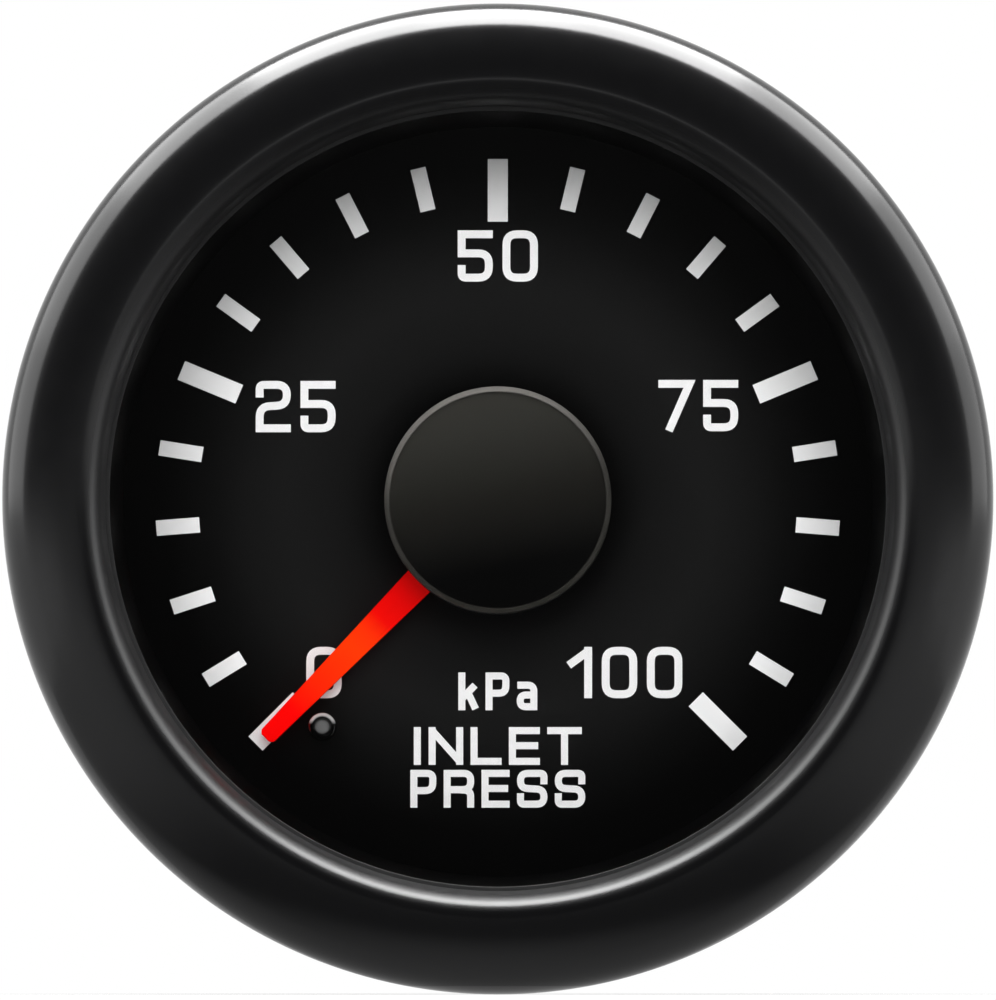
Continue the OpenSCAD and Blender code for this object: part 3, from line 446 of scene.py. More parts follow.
def bright_zinc():
    """Bright zinc plate on steel: pale blue-grey with a faint cloudy stain and soft edges."""
    made, tree, shader, place = surface("bright_zinc", "#A4A8AC", 0.32, 1.0)
    cloud = grain(tree, place, 3.0)
    uneven(tree, shader, cloud, ("#92979C", "#B0B2B2"), (0.26, 0.42))
    pits = grain(tree, place, 0.25)
    relief(tree, shader, pits, 0.003, 0.2)
    return made


def red_fibre():
    """Pressed red fibre: dry, with short threads in it."""
    made, tree, shader, place = surface("red_fibre", "#7E2A1E", 0.8)
    threads = grain(tree, place, 0.3, 4.0, (1, 3, 1))
    uneven(tree, shader, threads, ("#6B2119", "#97382A"), (0.7, 0.9))
    relief(tree, shader, threads, 0.02)
    return made


def black_rubber():
    """Moulded rubber seal: dull black with a bloom of grey."""
    made, tree, shader, place = surface("black_rubber", "#131313", 0.8)
    bloom = grain(tree, place, 0.8)
    uneven(tree, shader, bloom, ("#0F0F0F", "#1C1C1C"), (0.7, 0.88))
    return made


def milky_acrylic():
    """Milky acrylic light ring: white, with light let into its skin."""
    made, tree, shader, place = surface("milky_acrylic", "#DDE2E4", 0.3, IOR=1.49)
    shader.inputs["Subsurface Weight"].default_value = 0.3
    shader.inputs["Subsurface Scale"].default_value = 1.5 * MM
    uneven(tree, shader, grain(tree, place, 1.0), roughness=(0.24, 0.36))
    return made


ENAMEL = gloss_black_enamel()
MOULDING = satin_black_moulding()
DIAL_INK = matt_black_print()
WHITE_INK = white_dial_ink()
MARK_INK = mark_ink_painted_shade()
LACQUER = red_lacquer_painted_glow()
CAP_SKIN = warm_black_cap()
PIN_SKIN = gloss_black_pin()
GLASS = clear_lens()
BULB = bulb_glass()
CASE_PAINT = black_stoved_steel()
BRASS = turned_brass()
BRONZE = drawn_bronze()
STEEL = bright_steel()
ZINC = bright_zinc()
FIBRE = red_fibre()
RUBBER = black_rubber()
ACRYLIC = milky_acrylic()

NODE_FINISHES = {
    ENAMEL: ("bezel",),
    RUBBER: ("bezel_seal", "lens_gasket"),
    GLASS: ("lens",),
    MOULDING: ("visor_ring", "lamp_holder"),
    DIAL_INK: ("dial",),
    MARK_INK: ("dial_marks",),
    PIN_SKIN: ("stop_pin",),
    ACRYLIC: ("light_ring",),
    CASE_PAINT: ("gauge_case",),
    LACQUER: ("pointer",),
    CAP_SKIN: ("hub_cap",),
    STEEL: ("pinion_arbor", "sector_arbor", "sector_pin", "tip_pin", "tip_link", "plate_screws",
            "block_screws"),
    BRONZE: ("hairspring", "bourdon_tube"),
    BRASS: ("hairspring_collet", "hairspring_stud", "upper_plate", "lower_plate", "plate_pillars",
            "sector_gear", "tube_tip", "socket_block", "inlet_fitting"),
    FIBRE: ("fitting_washer",),
    ZINC: ("mounting_studs", "stud_nuts", "clamp_bracket", "lock_washers", "thumb_nut_left",
           "thumb_nut_right", "lamp_terminals"),
    BULB: ("lamp_bulb",),
}
for finish, names in NODE_FINISHES.items():
    for name in names:
        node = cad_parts[name]
        node.data.materials.clear()
        node.data.materials.append(finish)


# Mesh work


def at(x, y, height):
    """A point of the dial's frame, in mm, as a place in the row's frame, in metres."""
    return Vector((x * MM, -height * MM, y * MM))


def piece(name, bm, material, body, slot, *replaced, weld=1e-7):
    """Turns finished mesh work into a named piece that rides on a body and may stand for solids."""
    bmesh.ops.remove_doubles(bm, verts=bm.verts, dist=weld)
    bmesh.ops.recalc_face_normals(bm, faces=bm.faces)
    mesh = bpy.data.meshes.new(name)
    bm.to_mesh(mesh)
    bm.free()
    mesh.shade_smooth()
    mesh.set_sharp_from_angle(angle=SHARP)
    mesh.materials.append(material)
    made = bpy.data.objects.new(name, mesh)
    bpy.context.scene.collection.objects.link(made)
    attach(made, body)
    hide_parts(*replaced)
    return made


def curve_points(centre, radius, start, end, steps, skip=0):
    """Points along an arc of a section, as (radius, height) in mm and degrees."""
    turns = [math.radians(start + (end - start) * i / steps) for i in range(skip, steps + 1)]
    return [(centre[0] + radius * math.cos(t), centre[1] + radius * math.sin(t)) for t in turns]


def eased(loop, radius, steps=3):
    """Rounds every corner of a closed section by about a radius."""
    out = []
    for i, corner in enumerate(loop):
        corner = Vector(corner)
        before, after = Vector(loop[i - 1]) - corner, Vector(loop[(i + 1) % len(loop)]) - corner
        start = corner + before.normalized() * min(radius, 0.4 * before.length)
        end = corner + after.normalized() * min(radius, 0.4 * after.length)
        for k in range(steps + 1):
            t = k / steps
            out.append(tuple((1 - t) ** 2 * start + 2 * t * (1 - t) * corner + t ** 2 * end))
    return out


def turn(bm, loop, centre=(0, 0), steps=TURN_STEPS, first=0.0, sweep=FULL_TURN, limit=None):
    """Turns a closed section of (radius, height) round an axis. limit(angle) caps the radius."""
    whole = abs(sweep - FULL_TURN) < 1e-6
    count = steps if whole else steps + 1
    rings = []
    for i in range(count):
        angle = first + sweep * i / steps
        cap = limit(angle) if limit else math.inf
        rings.append([bm.verts.new(at(centre[0] + min(r, cap) * math.cos(angle),
                                      centre[1] + min(r, cap) * math.sin(angle), h))
                      for r, h in loop])
    for i in range(steps):
        near, far = rings[i], rings[(i + 1) % count]
        for k in range(len(loop)):
            n = (k + 1) % len(loop)
            if max(loop[k][0], loop[n][0]) > 0:
                bm.faces.new((near[k], near[n], far[n], far[k]))
    if not whole:
        bm.faces.new(rings[0])
        bm.faces.new(rings[-1][::-1])


def round_row(bm, centre, radii, height):
    """One level of a round piece, with a radius for each of its steps."""
    angles = [FULL_TURN * k / len(radii) for k in range(len(radii))]
    return [bm.verts.new(at(centre[0] + r * math.cos(a), centre[1] + r * math.sin(a), height))
            for r, a in zip(radii, angles)]


def join_rows(bm, rows):
    """Joins each row of points to the next one with faces."""
    for near, far in zip(rows, rows[1:]):
        for k in range(len(near)):
            n = (k + 1) % len(near)
            bm.faces.new((near[k], near[n], far[n], far[k]))


def thread(bm, centre, radius, depth, pitch, back, front, fade, drop, steps):
    """The rows of a threaded length. radius(height) is its crest, which drops at both ends over a fade."""
    count = int((front - back) / pitch * ROWS_PER_PITCH)
    rows = []
    for i in range(count + 1):
        height = back + (front - back) * i / count
        ease = min(1.0, (height - back) / fade, (front - height) / fade)
        radii = []
        for k in range(steps):
            phase = (height / pitch + k / steps) % 1.0
            groove = min(1.0, GROOVE_STEEP * abs(2 * phase - 1))
            radii.append(radius(height) - drop * (1 - ease) - depth * groove * ease)
        rows.append(round_row(bm, centre, radii, height))
    return rows


def hexagon(across):
    """The radius of a hexagon by angle, with corners at the sides, for turn()'s limit."""
    return lambda angle: across / 2 / math.cos(angle % (math.pi / 3) - math.pi / 6)


def prism(bm, outline, back, front):
    """A flat plate between two heights from an outline in the dial's frame."""
    low = [bm.verts.new(at(x, y, back)) for x, y in outline]
    high = [bm.verts.new(at(x, y, front)) for x, y in outline]
    bm.faces.new(low)
    bm.faces.new(high[::-1])
    for i in range(len(outline)):
        n = (i + 1) % len(outline)
        bm.faces.new((low[i], low[n], high[n], high[i]))


# Bezel, visor, cap and pins


def build_bezel():
    """The bezel's ring: a broad rolled face, a tight crest, a straight cone down to the glass."""
    crest_r = OPENING_R + CREST_IN
    edge_r = BEZEL_R - EDGE_ROUND
    lean = math.asin((edge_r - crest_r) / (FACE_ROUND - EDGE_ROUND))
    side_h = BEZEL_CREST - FACE_ROUND + (FACE_ROUND - EDGE_ROUND) * math.cos(lean)
    run = (CREST_IN - LIP_LEDGE, BEZEL_CREST - CREST_ROUND - LIP_BACK - LIP_LAND)
    cone = math.degrees(math.atan2(run[1], run[0]) + math.asin(CREST_ROUND / math.hypot(*run)))
    lean = math.degrees(lean)
    section = [(OPENING_R, LIP_BACK)]
    section += curve_points((OPENING_R + LIP_BREAK, LIP_BACK + LIP_LAND - LIP_BREAK), LIP_BREAK, 180, 90, 5)
    section += [(OPENING_R + LIP_LEDGE, LIP_BACK + LIP_LAND)]
    section += curve_points((crest_r, BEZEL_CREST - CREST_ROUND), CREST_ROUND, 90 + cone, 90, 14)
    section += curve_points((crest_r, BEZEL_CREST - FACE_ROUND), FACE_ROUND, 90, 90 - lean, 20, 1)
    section += curve_points((edge_r, side_h), EDGE_ROUND, 90 - lean, 0, 28, 1)
    section += curve_points((BEZEL_R - EDGE_BREAK, EDGE_BREAK), EDGE_BREAK, 0, -90, 6)
    section += [(CRIMP_IN, 0), (CRIMP_IN, CRIMP_T), (GROOVE_R, CRIMP_T), (GROOVE_R, GROOVE_TOP),
                (POCKET_R, GROOVE_TOP), (POCKET_R, LIP_BACK)]
    bm = bmesh.new()
    turn(bm, section)
    piece("bezel_ring", bm, ENAMEL, "gauge_body", "black_anodised", "bezel")


def build_visor():
    """The black ring between the dial and the glass."""
    section = eased([(VISOR_FOOT_R, DIAL_FRONT), (DIAL_R, DIAL_FRONT), (DIAL_R, LENS_BACK),
                     (VISOR_TOP_R, LENS_BACK)], 0.12)
    bm = bmesh.new()
    turn(bm, section)
    piece("visor_cone", bm, MOULDING, "gauge_body", "black_moulding", "visor_ring")


def build_cap():
    """The cap over the hub: a low dome inside a bevelled rim, its skirt notched for the pointer."""
    rim_in = CAP_R - CAP_RIM
    swell = CAP_TOP - CAP_DOME_SINK
    ball = (rim_in ** 2 + CAP_DISH ** 2) / (2 * CAP_DISH)
    reach = math.degrees(math.asin(rim_in / ball))
    rim = eased([(CAP_R, BLADE_FRONT), (CAP_R, CAP_TOP - CAP_BEVEL), (rim_in, CAP_TOP - CAP_RIM_SINK),
                 (rim_in, CAP_TOP - CAP_DISH - CAP_GROOVE)], 0.04)[4:-4]
    top = [(0, BLADE_FRONT), (CAP_R, BLADE_FRONT)] + rim
    top += curve_points((0, swell - ball), ball, 90 - reach, 90, 24)
    bm = bmesh.new()
    turn(bm, top)
    notch = math.asin((BLADE_ROOT_W / 2 + CAP_NOTCH_PLAY) / CAP_R)
    skirt = [(CAP_R - CAP_WALL, CAP_FOOT), (CAP_R, CAP_FOOT), (CAP_R, BLADE_FRONT),
             (CAP_R - CAP_WALL, BLADE_FRONT)]
    turn(bm, skirt, first=REST_ANGLE + notch, sweep=FULL_TURN - 2 * notch)
    piece("cap_disc", bm, CAP_SKIN, "pointer_body", "cap_black", "hub_cap")


def build_pointer():
    """The pointer's blade: a flat taper with soft edges and a square tip, and its hub under the cap."""
    bm = bmesh.new()
    outline = [(-BLADE_TAIL, -BLADE_ROOT_W), (0, -BLADE_ROOT_W), (0, -BLADE_ROOT_W / 2),
               (CAP_R, -BLADE_ROOT_W / 2), (BLADE_R - BLADE_CORNER, -BLADE_TIP_W / 2),
               (BLADE_R, BLADE_CORNER - BLADE_TIP_W / 2), (BLADE_R, BLADE_TIP_W / 2 - BLADE_CORNER),
               (BLADE_R - BLADE_CORNER, BLADE_TIP_W / 2), (CAP_R, BLADE_ROOT_W / 2),
               (0, BLADE_ROOT_W / 2), (0, BLADE_ROOT_W), (-BLADE_TAIL, BLADE_ROOT_W)]
    c, s = math.cos(REST_ANGLE), math.sin(REST_ANGLE)
    prism(bm, [(x * c - y * s, x * s + y * c) for x, y in outline], BLADE_BACK, BLADE_FRONT)
    bmesh.ops.recalc_face_normals(bm, faces=bm.faces)
    bmesh.ops.bevel(bm, geom=list(bm.edges), offset=BLADE_EASE * MM, segments=3, profile=0.5,
                    affect="EDGES", clamp_overlap=True)
    boss = BLADE_BACK - BLADE_BOSS_T
    hub = eased([(BLADE_BORE, boss), (BLADE_HUB_R, boss), (BLADE_HUB_R, BLADE_FRONT),
                 (BLADE_BORE, BLADE_FRONT)], 0.08)
    turn(bm, hub, steps=SMALL_STEPS)
    piece("pointer_blade", bm, LACQUER, "pointer_body", "pointer_red", "pointer")


def build_stop():
    """The stop pin: a black-dipped pin with a domed end."""
    centre = ((STOP_LOW.x + STOP_HIGH.x) / 2, (STOP_LOW.z + STOP_HIGH.z) / 2)
    radius = (STOP_HIGH.x - STOP_LOW.x) / 2
    top, back = -STOP_LOW.y, -STOP_HIGH.y
    section = [(0, DIAL_FRONT), (radius, DIAL_FRONT)]
    section += curve_points((radius - STOP_DOME, top - STOP_DOME), STOP_DOME, 0, 90, 10)
    section += [(0, top)]
    bm = bmesh.new()
    turn(bm, section, centre, SMALL_STEPS)
    rivet = eased([(0, back), (radius, back), (radius, back + STOP_RIVET_T),
                   (STOP_SHANK_R, back + STOP_RIVET_T), (STOP_SHANK_R, DIAL_FRONT), (0, DIAL_FRONT)], 0.04)
    turn(bm, [(max(0.0, r), h) for r, h in rivet], centre, SMALL_STEPS)
    piece("stop_button", bm, PIN_SKIN, "gauge_body", "cap_black", "stop_pin")


# Printing: each sign is drawn with strokes on a unit cell, and a third value of 0 keeps a corner sharp
SIGNS = {
    "0": (2.12, [[(0, 0), (1, 0), (1, 1), (0, 1), None]]),
    "1": (1.6, [[(1, 1), (1, 0)], [(0.14, 0.72), (0.9, 0.96)]]),
    "2": (2.1, [[(0, 0.8), (0, 1), (1, 1), (1, 0.53), (0, 0.5), (0, 0, 0), (1, 0)]]),
    "5": (2.1, [[(1, 1), (0, 1, 0), (0, 0.56, 0), (1, 0.56), (1, 0), (0, 0), (0, 0.2)]]),
    "7": (2.1, [[(0, 1), (1, 1, 0), (0.3, 0)]]),
    "k": (1.35, [[(0, 1), (0, 0)], [(0.1, 0.3), (0.84, 0.62)], [(0.5, 0.44), (0.96, 0.03)]]),
    "P": (1.62, [[(0, 0), (0, 1, 0), (0.5, 1)], [(0.4, 1), (1, 1), (1, 0.44), (0, 0.44)]]),
    "a": (1.4, [[(0.05, 0.7), (1, 0.7), (1, 0)], [(1, 0.38), (0, 0.38), (0, 0), (1, 0)]]),
    "I": (0.42, [[(0, 0), (0, 1)]]),
    "N": (1.95, [[(0, 0), (0, 1)], [(0.08, 0.92), (0.92, 0.08)], [(1, 0), (1, 1)]]),
    "L": (1.75, [[(0, 1), (0, 0, 0), (1, 0)]]),
    "E": (1.75, [[(1, 1), (0, 1, 0), (0, 0, 0), (1, 0)], [(0, 0.51), (0.93, 0.51)]]),
    "T": (1.95, [[(0, 1), (1, 1)], [(0.5, 1), (0.5, 0)]]),
    "R": (1.9, [[(0, 0), (0, 1, 0), (0.5, 1)], [(0.4, 1), (1, 1), (1, 0.47), (0, 0.47)],
                [(0.5, 0.47), (1, 0.44), (1, 0)]]),
    "S": (1.9, [[(1, 0.76), (1, 1), (0, 1), (0, 0.52), (1, 0.48), (1, 0), (0, 0), (0, 0.24)]]),
}


def smoothed(path, closed, radius, steps=6):
    """A stroke's path with its corners rounded, apart from those marked sharp."""
    out = []
    for i, (point, soft) in enumerate(path):
        end = not closed and i in (0, len(path) - 1)
        if end or not soft:
            out.append(point)
            continue
        before = path[i - 1][0] - point
        after = path[(i + 1) % len(path)][0] - point
        reach = min(radius, 0.5 * before.length, 0.5 * after.length)
        start, stop = point + before.normalized() * reach, point + after.normalized() * reach
        for k in range(steps + 1):
            t = k / steps
            out.append((1 - t) ** 2 * start + 2 * t * (1 - t) * point + t ** 2 * stop)
    return [p for i, p in enumerate(out) if (p - out[i - 1]).length > 0.001 or (i == 0 and not closed)]


def stroke(bm, path, closed, width, lift):
    """A flat inked stroke along a path, with mitred joints. Where strokes cross, lift parts their tops."""
    if not closed:
        ends = [path[i] + (path[i] - path[n]).normalized() * width / 2 for i, n in ((0, 1), (-1, -2))]
        path = [ends[0]] + path[1:-1] + [ends[1]]
    count = len(path)
    sides = [[], []]
    for i, point in enumerate(path):
        into = (point - path[i - 1]).normalized() if closed or i else None
        onward = (path[(i + 1) % count] - point).normalized() if closed or i < count - 1 else None
        into, onward = into or onward, onward or into
        normals = [Vector((-d.y, d.x)) for d in (into, onward)]
        mitre = (normals[0] + normals[1]).normalized()
        reach = width / 2 / max(0.35, mitre.dot(normals[0]))
        for side, sign in zip(sides, (1, -1)):
            side.append(point + mitre * reach * sign)
    low, high = DIAL_FRONT - lift, DIAL_FRONT + PRINT_T + lift
    layers = [[[bm.verts.new(at(p.x, p.y, level)) for p in side] for side in sides]
              for level in (low, high)]
    last = count if closed else count - 1
    for i in range(last):
        n = (i + 1) % count
        (left, right), (left_up, right_up) = layers
        bm.faces.new((left_up[i], left_up[n], right_up[n], right_up[i]))
        bm.faces.new((left[i], right[i], right[n], left[n]))
        bm.faces.new((left[i], left[n], left_up[n], left_up[i]))
        bm.faces.new((right[i], right_up[i], right_up[n], right[n]))
    if not closed:
        for i in (0, -1):
            (left, right), (left_up, right_up) = layers
            bm.faces.new((left[i], left_up[i], right_up[i], right[i]))


def write(bm, text, middle, base, height, width, gap, scale=1.0):
    """Writes a line of signs about a middle, with its foot at a base line."""
    widths = [SIGNS[sign][0] * scale for sign in text]
    x = middle - (sum(widths) + gap * (len(text) - 1)) / 2
    for sign, w in zip(text, widths):
        for order, strokes in enumerate(SIGNS[sign][1]):
            closed = strokes[-1] is None
            path = [(Vector((x + width / 2 + p[0] * (w - width),
                             base + width / 2 + p[1] * (height - width))), len(p) < 3)
                    for p in strokes if p]
            stroke(bm, smoothed(path, closed, SIGN_ROUND * w), closed, width, PRINT_LIFT * order)
        x += w + gap


def build_numbers():
    """The dial's plain numbers, its unit and what it reads."""
    bm = bmesh.new()
    for text, middle, base in NUMBERS:
        write(bm, text, middle, base, NUMBER_H, NUMBER_STROKE, NUMBER_GAP)
    for text, base, scale in WORDS:
        write(bm, text, 0.0, base, WORD_H, WORD_STROKE, WORD_GAP, scale)
    piece("dial_numbers", bm, WHITE_INK, "gauge_body", "dial_print")


def build_tube():
    """The pressure tube, as a copy of its solid that stands in for it."""
    tube = bpy.data.objects.new("bending_tube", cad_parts["bourdon_tube"].data.copy())
    bpy.context.scene.collection.objects.link(tube)
    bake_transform(tube)
    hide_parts("bourdon_tube")


# Rear: threads, nuts and the fitting

STUD_R = 2.05
STUD_PITCH = 0.794
STUD_THREAD = 0.34
STUD_BEVEL = 0.4
STUD_HEAD_R = 3.4
STUD_HEAD_T = 1.2
STUD_BORE = 2.07
PIPE_R = 5.05
PIPE_BORE = 1.5
PIPE_SHANK_R = 4.0
PIPE_PITCH = 0.94
PIPE_THREAD = 0.45
PIPE_TAPER = 0.3
PIPE_FADE = 0.6
PIPE_NECK = 1.0
HEX_CHAMFER_R = 0.96
HEX_CHAMFER = math.radians(30)
FITTING_WASHER_T = 0.8
FITTING_HEX_T = 5.0
THUMB_COLLAR = 1.6
THUMB_INSET = 0.7
THUMB_BORE = 2.1
THUMB_FLUTES = 16
THUMB_FLUTE_R = 0.55
THUMB_BEVEL_H = 0.5
THUMB_MOUTH = 0.3


def build_studs():
    """Two zinc-plated studs with rolled threads, 32 to the inch, and their heads inside the case."""
    low, high = [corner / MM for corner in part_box("mounting_studs")]
    back, head = -high.y, -low.y - STUD_HEAD_T
    bm = bmesh.new()
    for side in (-1, 1):
        centre = (side * (high.x - STUD_HEAD_R), 0)
        rows = thread(bm, centre, lambda height: STUD_R, STUD_THREAD, STUD_PITCH, back, head,
                      STUD_BEVEL, STUD_BEVEL, STUD_STEPS)
        join_rows(bm, rows)
        bm.faces.new(rows[0])
        bm.faces.new(rows[-1][::-1])
        disc = [(0, head), (STUD_HEAD_R, head), (STUD_HEAD_R, -low.y), (0, -low.y)]
        turn(bm, eased(disc, 0.1), centre, SMALL_STEPS)
    piece("threaded_studs", bm, ZINC, "gauge_body", "zinc_steel", "mounting_studs")


def hex_section(across, back, front, bore):
    """A hexagon's turned section, with both ends chamfered at 30 degrees."""
    corner = across / math.sqrt(3)
    flat = HEX_CHAMFER_R * across / 2
    drop = (corner - flat) * math.tan(HEX_CHAMFER)
    steps = 5
    ends = [(flat + (corner - flat) * k / steps, back + drop * k / steps) for k in range(steps + 1)]
    return [(bore, back)] + ends + [(r, front + back - h) for r, h in reversed(ends)] + [(bore, front)]


def build_stud_nuts():
    """Thin chamfered nuts that hold the studs to the case."""
    low, high = [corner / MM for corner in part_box("stud_nuts")]
    across = high.z - low.z
    bm = bmesh.new()
    for side in (-1, 1):
        centre = (side * (high.x - across / math.sqrt(3)), 0)
        turn(bm, hex_section(across, -high.y, -low.y, STUD_BORE), centre, SMALL_STEPS,
             limit=hexagon(across))
    piece("chamfered_nuts", bm, ZINC, "gauge_body", "zinc_steel", "stud_nuts")


def build_fitting():
    """The brass inlet: a chamfered hexagon and a nose with an eighth-inch pipe thread, bored through."""
    low, high = [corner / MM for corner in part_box("inlet_fitting")]
    across = high.z - low.z
    hex_front = CASE_BACK - FITTING_WASHER_T
    hex_back = hex_front - FITTING_HEX_T
    back = -high.y
    bm = bmesh.new()
    turn(bm, hex_section(across, hex_back, hex_front, PIPE_BORE), steps=SMALL_STEPS, limit=hexagon(across))
    turn(bm, [(PIPE_BORE, hex_front), (PIPE_SHANK_R, hex_front), (PIPE_SHANK_R, -low.y),
              (PIPE_BORE, -low.y)], steps=SMALL_STEPS)

    def crest(height):
        return PIPE_R - PIPE_TAPER * (hex_back - height) / (hex_back - back)

    rows = thread(bm, (0, 0), crest, PIPE_THREAD, PIPE_PITCH, back, hex_back - PIPE_NECK,
                  PIPE_FADE, PIPE_THREAD, SMALL_STEPS)
    mouth, foot = [round_row(bm, (0, 0), [PIPE_BORE] * SMALL_STEPS, height)
                   for height in (back, hex_back)]
    neck = round_row(bm, (0, 0), [PIPE_R - PIPE_THREAD] * SMALL_STEPS, hex_back)
    join_rows(bm, [mouth] + rows + [neck, foot, mouth])
    piece("threaded_fitting", bm, BRASS, "gauge_body", "brass", "inlet_fitting")


def build_thumb_nut(name, node, body):
    """A knurled nut: a plain collar against the lock washer and a fluted grip with bevelled ends."""
    low, high = [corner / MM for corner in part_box(node)]
    centre = ((low.x + high.x) / 2, (low.z + high.z) / 2)
    radius = (high.x - low.x) / 2
    back, front = -high.y, -low.y
    collar = front - THUMB_COLLAR
    grip_r = radius - THUMB_INSET
    pitch = FULL_TURN / THUMB_FLUTES

    def grip(angle):
        off = grip_r * ((angle + pitch / 2) % pitch - pitch / 2)
        return grip_r - math.sqrt(max(0.0, THUMB_FLUTE_R ** 2 - off ** 2))

    bm = bmesh.new()
    turn(bm, eased([(THUMB_BORE, collar), (radius, collar), (radius, front), (THUMB_BORE, front)], 0.25),
         centre, SMALL_STEPS * 2)
    steps = 6
    bevel = [(grip_r - THUMB_INSET + THUMB_INSET * k / steps, back + THUMB_BEVEL_H * k / steps)
             for k in range(steps + 1)]
    turn(bm, [(THUMB_BORE + THUMB_MOUTH, back)] + bevel + [(grip_r, collar), (THUMB_BORE, collar),
                                                           (THUMB_BORE, back + THUMB_MOUTH)],
         centre, THUMB_FLUTES * 14, limit=grip)
    piece(name, bm, ZINC, body, "zinc_steel", node)


build_bezel()
build_visor()
build_cap()
build_pointer()
build_stop()
build_numbers()
build_tube()
build_studs()
build_stud_nuts()
build_fitting()
build_thumb_nut("knurled_nut_left", "thumb_nut_left", "left_nut")
build_thumb_nut("knurled_nut_right", "thumb_nut_right", "right_nut")


# Studio

scene = bpy.context.scene
scene.view_settings.view_transform = "Standard"

# The floor shows the object's shadow within one radius and is fully white beyond the other, in metres
FLOOR_R = 4.0
SHADOW_R = 0.06
GLOW_R = 0.3
SHADOW_SHARE = 0.72

# The photograph: millimetres to a pixel at the bezel, its size, and the dial's centre on it
PHOTO_SCALE = 0.05952
PHOTO_SIZE = (996, 1000)
PHOTO_CENTRE = (497.8, 498.9)
SENSOR = 36.0
CAMERA_DISTANCE = 1200.0
CAMERA_DROP = 28.2

# The arch of soft boxes round the gauge's axis: roll from the top in degrees, and radiance
ARCH = {-80: 1.8, -60: 3.0, -40: 7, -20: 18, 0: 21, 20: 18, 40: 7, 60: 2.9, 80: 1.5}
ARCH_R = 0.33
ARCH_STEP = ARCH_R * math.radians(20)
ARCH_LENGTH = 0.33
ARCH_Y = -0.03
# Two soft boxes that gloss doesn't show: place, size and radiance
FILLS = {"overhead_fill": ((0, -0.35, 0.55), (0.7, 0.5), 2.4),
         "front_fill": ((0, -1.1, 0.4), (0.8, 0.6), 4.8)}
CLOTH_LIFT = 0.5 * MM
CLOTH_CORNERS = ((-0.2, -0.6), (0.2, -0.6), (0.07, -0.001), (-0.07, -0.001))


def lay(name, outline, level, material):
    """Lays a flat sheet of the studio at a level, from its outline in metres."""
    bm = bmesh.new()
    bm.faces.new([bm.verts.new((x, y, level)) for x, y in outline])
    mesh = bpy.data.meshes.new(name)
    bm.to_mesh(mesh)
    bm.free()
    mesh.materials.append(material)
    made = bpy.data.objects.new(name, mesh)
    scene.collection.objects.link(made)
    return made


def build_floor():
    """A plain pale floor that keeps the object's shadow and looks white to the camera and in gloss."""
    made, tree, place = bare_tree("pale_floor")
    paper = add_node(tree, "ShaderNodeBsdfDiffuse", inputs={"Color": srgb("#EDEDED")})
    white = add_node(tree, "ShaderNodeEmission", inputs={"Color": srgb("#FFFFFF"), "Strength": 1.0})
    rays = add_node(tree, "ShaderNodeLightPath")
    seen = add_node(tree, "ShaderNodeMath", operation="MAXIMUM",
                    links={0: rays.outputs["Is Camera Ray"], 1: rays.outputs["Is Glossy Ray"]})
    away = add_node(tree, "ShaderNodeVectorMath", operation="LENGTH", links={0: place})
    fade = add_node(tree, "ShaderNodeMapRange", interpolation_type="SMOOTHSTEP",
                    inputs={"From Min": SHADOW_R, "From Max": GLOW_R, "To Min": SHADOW_SHARE, "To Max": 1.0},
                    links={"Value": away.outputs["Value"]})
    share = add_node(tree, "ShaderNodeMath", operation="MULTIPLY",
                     links={0: seen.outputs[0], 1: fade.outputs["Result"]})
    both = add_node(tree, "ShaderNodeMixShader",
                    links={0: share.outputs[0], 1: paper.outputs[0], 2: white.outputs[0]})
    tree.links.new(both.outputs[0], tree.nodes["Material Output"].inputs["Surface"])
    rim = [(FLOOR_R * math.cos(a), FLOOR_R * math.sin(a)) for a in (FULL_TURN * k / 64 for k in range(64))]
    floor = lay("studio_floor", rim, cad_box[0][2], made)


def build_dark_cloth():
    """A dark cloth in front of the dial, seen only in gloss, which keeps the black enamel black."""
    made, tree, place = bare_tree("dark_cloth")
    apart = add_node(tree, "ShaderNodeSeparateXYZ", links={"Vector": place}).outputs
    # it greys under the bezel's edge and towards its sides
    near = add_node(tree, "ShaderNodeMapRange", interpolation_type="SMOOTHSTEP",
                    inputs={"From Min": -0.02, "From Max": -0.003, "To Min": 0.1, "To Max": 0.6},
                    links={"Value": apart["Y"]})
    off = add_node(tree, "ShaderNodeMath", operation="ABSOLUTE", links={0: apart["X"]})
    side = add_node(tree, "ShaderNodeMapRange", interpolation_type="SMOOTHSTEP",
                    inputs={"From Min": 0.01, "From Max": 0.05, "To Min": 0.0, "To Max": 0.55},
                    links={"Value": off.outputs[0]})
    level = add_node(tree, "ShaderNodeMath", operation="MAXIMUM",
                     links={0: near.outputs["Result"], 1: side.outputs["Result"]})
    glow = add_node(tree, "ShaderNodeEmission", inputs={"Color": srgb("#FFFFFF")},
                    links={"Strength": level.outputs[0]})
    tree.links.new(glow.outputs[0], tree.nodes["Material Output"].inputs["Surface"])
    cloth = lay("dark_cloth", CLOTH_CORNERS, cad_box[0][2] + CLOTH_LIFT, made)
    cloth.visible_camera = cloth.visible_diffuse = cloth.visible_shadow = cloth.visible_transmission = False


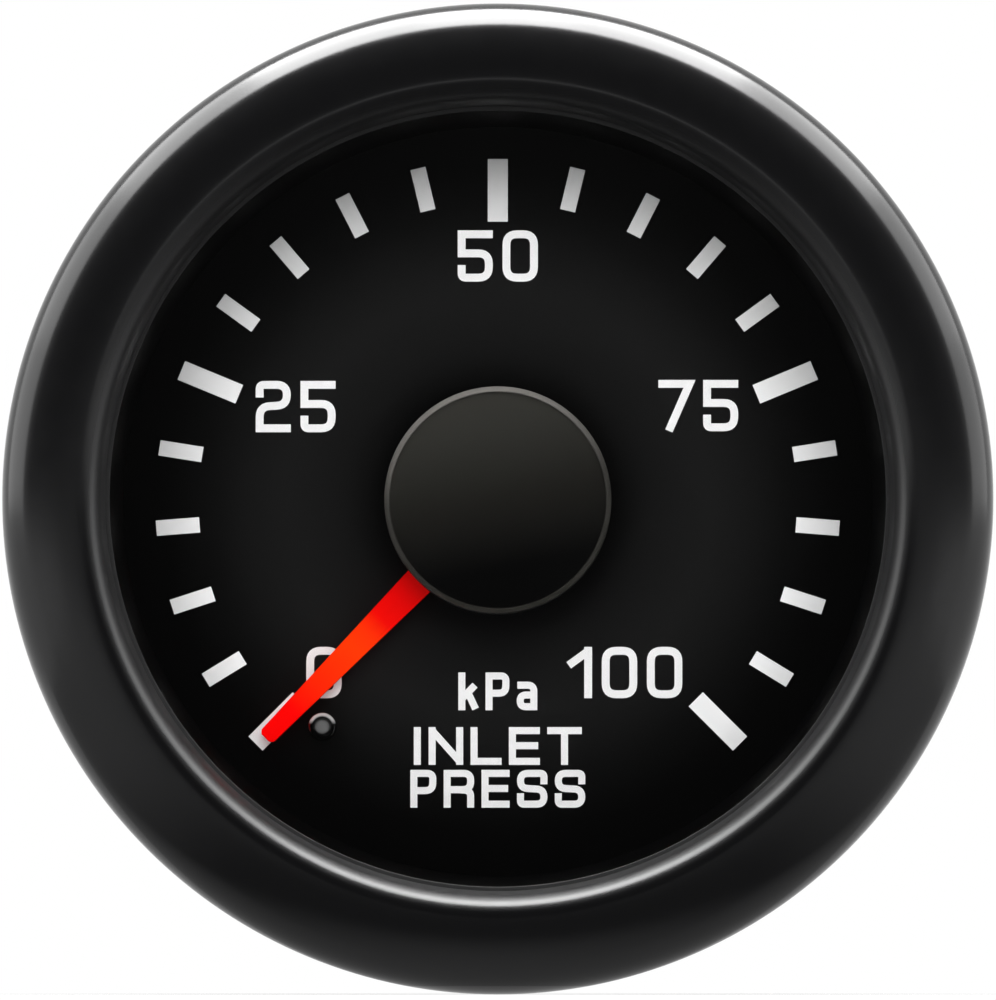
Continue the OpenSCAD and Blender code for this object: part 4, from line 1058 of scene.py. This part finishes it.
def build_air():
    """The studio round the object: soft white at the sides, behind and above, dark in front of the dial."""
    world = bpy.data.worlds.new("studio_air")
    scene.world = world
    world.use_nodes = True
    tree = world.node_tree
    towards = add_node(tree, "ShaderNodeTexCoord").outputs["Generated"]
    ahead = add_node(tree, "ShaderNodeVectorMath", operation="DOT_PRODUCT",
                     inputs={1: (0, -1, 0)}, links={0: towards})
    dark = add_node(tree, "ShaderNodeMapRange", interpolation_type="SMOOTHSTEP",
                    inputs={"From Min": 0.25, "From Max": 0.95, "To Min": 1.0, "To Max": 0.06},
                    links={"Value": ahead.outputs["Value"]})
    rays = add_node(tree, "ShaderNodeLightPath")
    seen = add_node(tree, "ShaderNodeMath", operation="MAXIMUM",
                    links={0: rays.outputs["Is Camera Ray"], 1: rays.outputs["Is Transmission Ray"]})
    level = add_node(tree, "ShaderNodeMath", operation="MAXIMUM",
                     links={0: seen.outputs[0], 1: dark.outputs["Result"]})
    background = tree.nodes["Background"]
    background.inputs["Color"].default_value = srgb("#FFFFFF")
    tree.links.new(level.outputs[0], background.inputs["Strength"])


def lamp(name, place, turned, size, radiance, gloss=True, matt=True):
    """A rectangular soft box, as bright as white paint in plain light at a radiance of 1."""
    data = bpy.data.lights.new(name, "AREA")
    data.shape = "RECTANGLE"
    data.size, data.size_y = size
    data.energy = radiance * math.pi * size[0] * size[1]
    made = bpy.data.objects.new(name, data)
    made.location = place
    made.rotation_euler = turned
    made.visible_glossy = gloss
    made.visible_diffuse = matt
    scene.collection.objects.link(made)


def build_lamps():
    """An arch of soft boxes that only gloss shows, brightest overhead, and soft fills for the rest."""
    for roll, radiance in ARCH.items():
        a = math.radians(roll)
        lamp(f"arch_{roll}", (ARCH_R * math.sin(a), ARCH_Y, ARCH_R * math.cos(a)), (0, a, 0),
             (ARCH_STEP, ARCH_LENGTH), radiance, matt=False)
    for name, (place, size, radiance) in FILLS.items():
        lamp(name, place, (math.atan2(-place[1], place[2]), 0, 0), size, radiance, gloss=False)


def build_camera():
    """A long lens in front of the dial, just under its axis, framed as the photograph is."""
    data = bpy.data.cameras.new("photo_camera")
    data.sensor_width = SENSOR
    data.lens = SENSOR * CAMERA_DISTANCE / (max(PHOTO_SIZE) * PHOTO_SCALE)
    data.clip_start, data.clip_end = 0.05, 20.0
    made = bpy.data.objects.new("photo_camera", data)
    aim = at((PHOTO_SIZE[0] / 2 - PHOTO_CENTRE[0]) * PHOTO_SCALE,
             (PHOTO_CENTRE[1] - PHOTO_SIZE[1] / 2) * PHOTO_SCALE, LENS_FRONT)
    made.location = at(0, -CAMERA_DROP, CAMERA_DISTANCE + LENS_FRONT)
    made.rotation_mode = "QUATERNION"
    made.rotation_quaternion = (aim - made.location).to_track_quat("-Z", "Y")
    scene.collection.objects.link(made)
    scene.camera = made


build_floor()
build_dark_cloth()
build_air()
build_lamps()
build_camera()
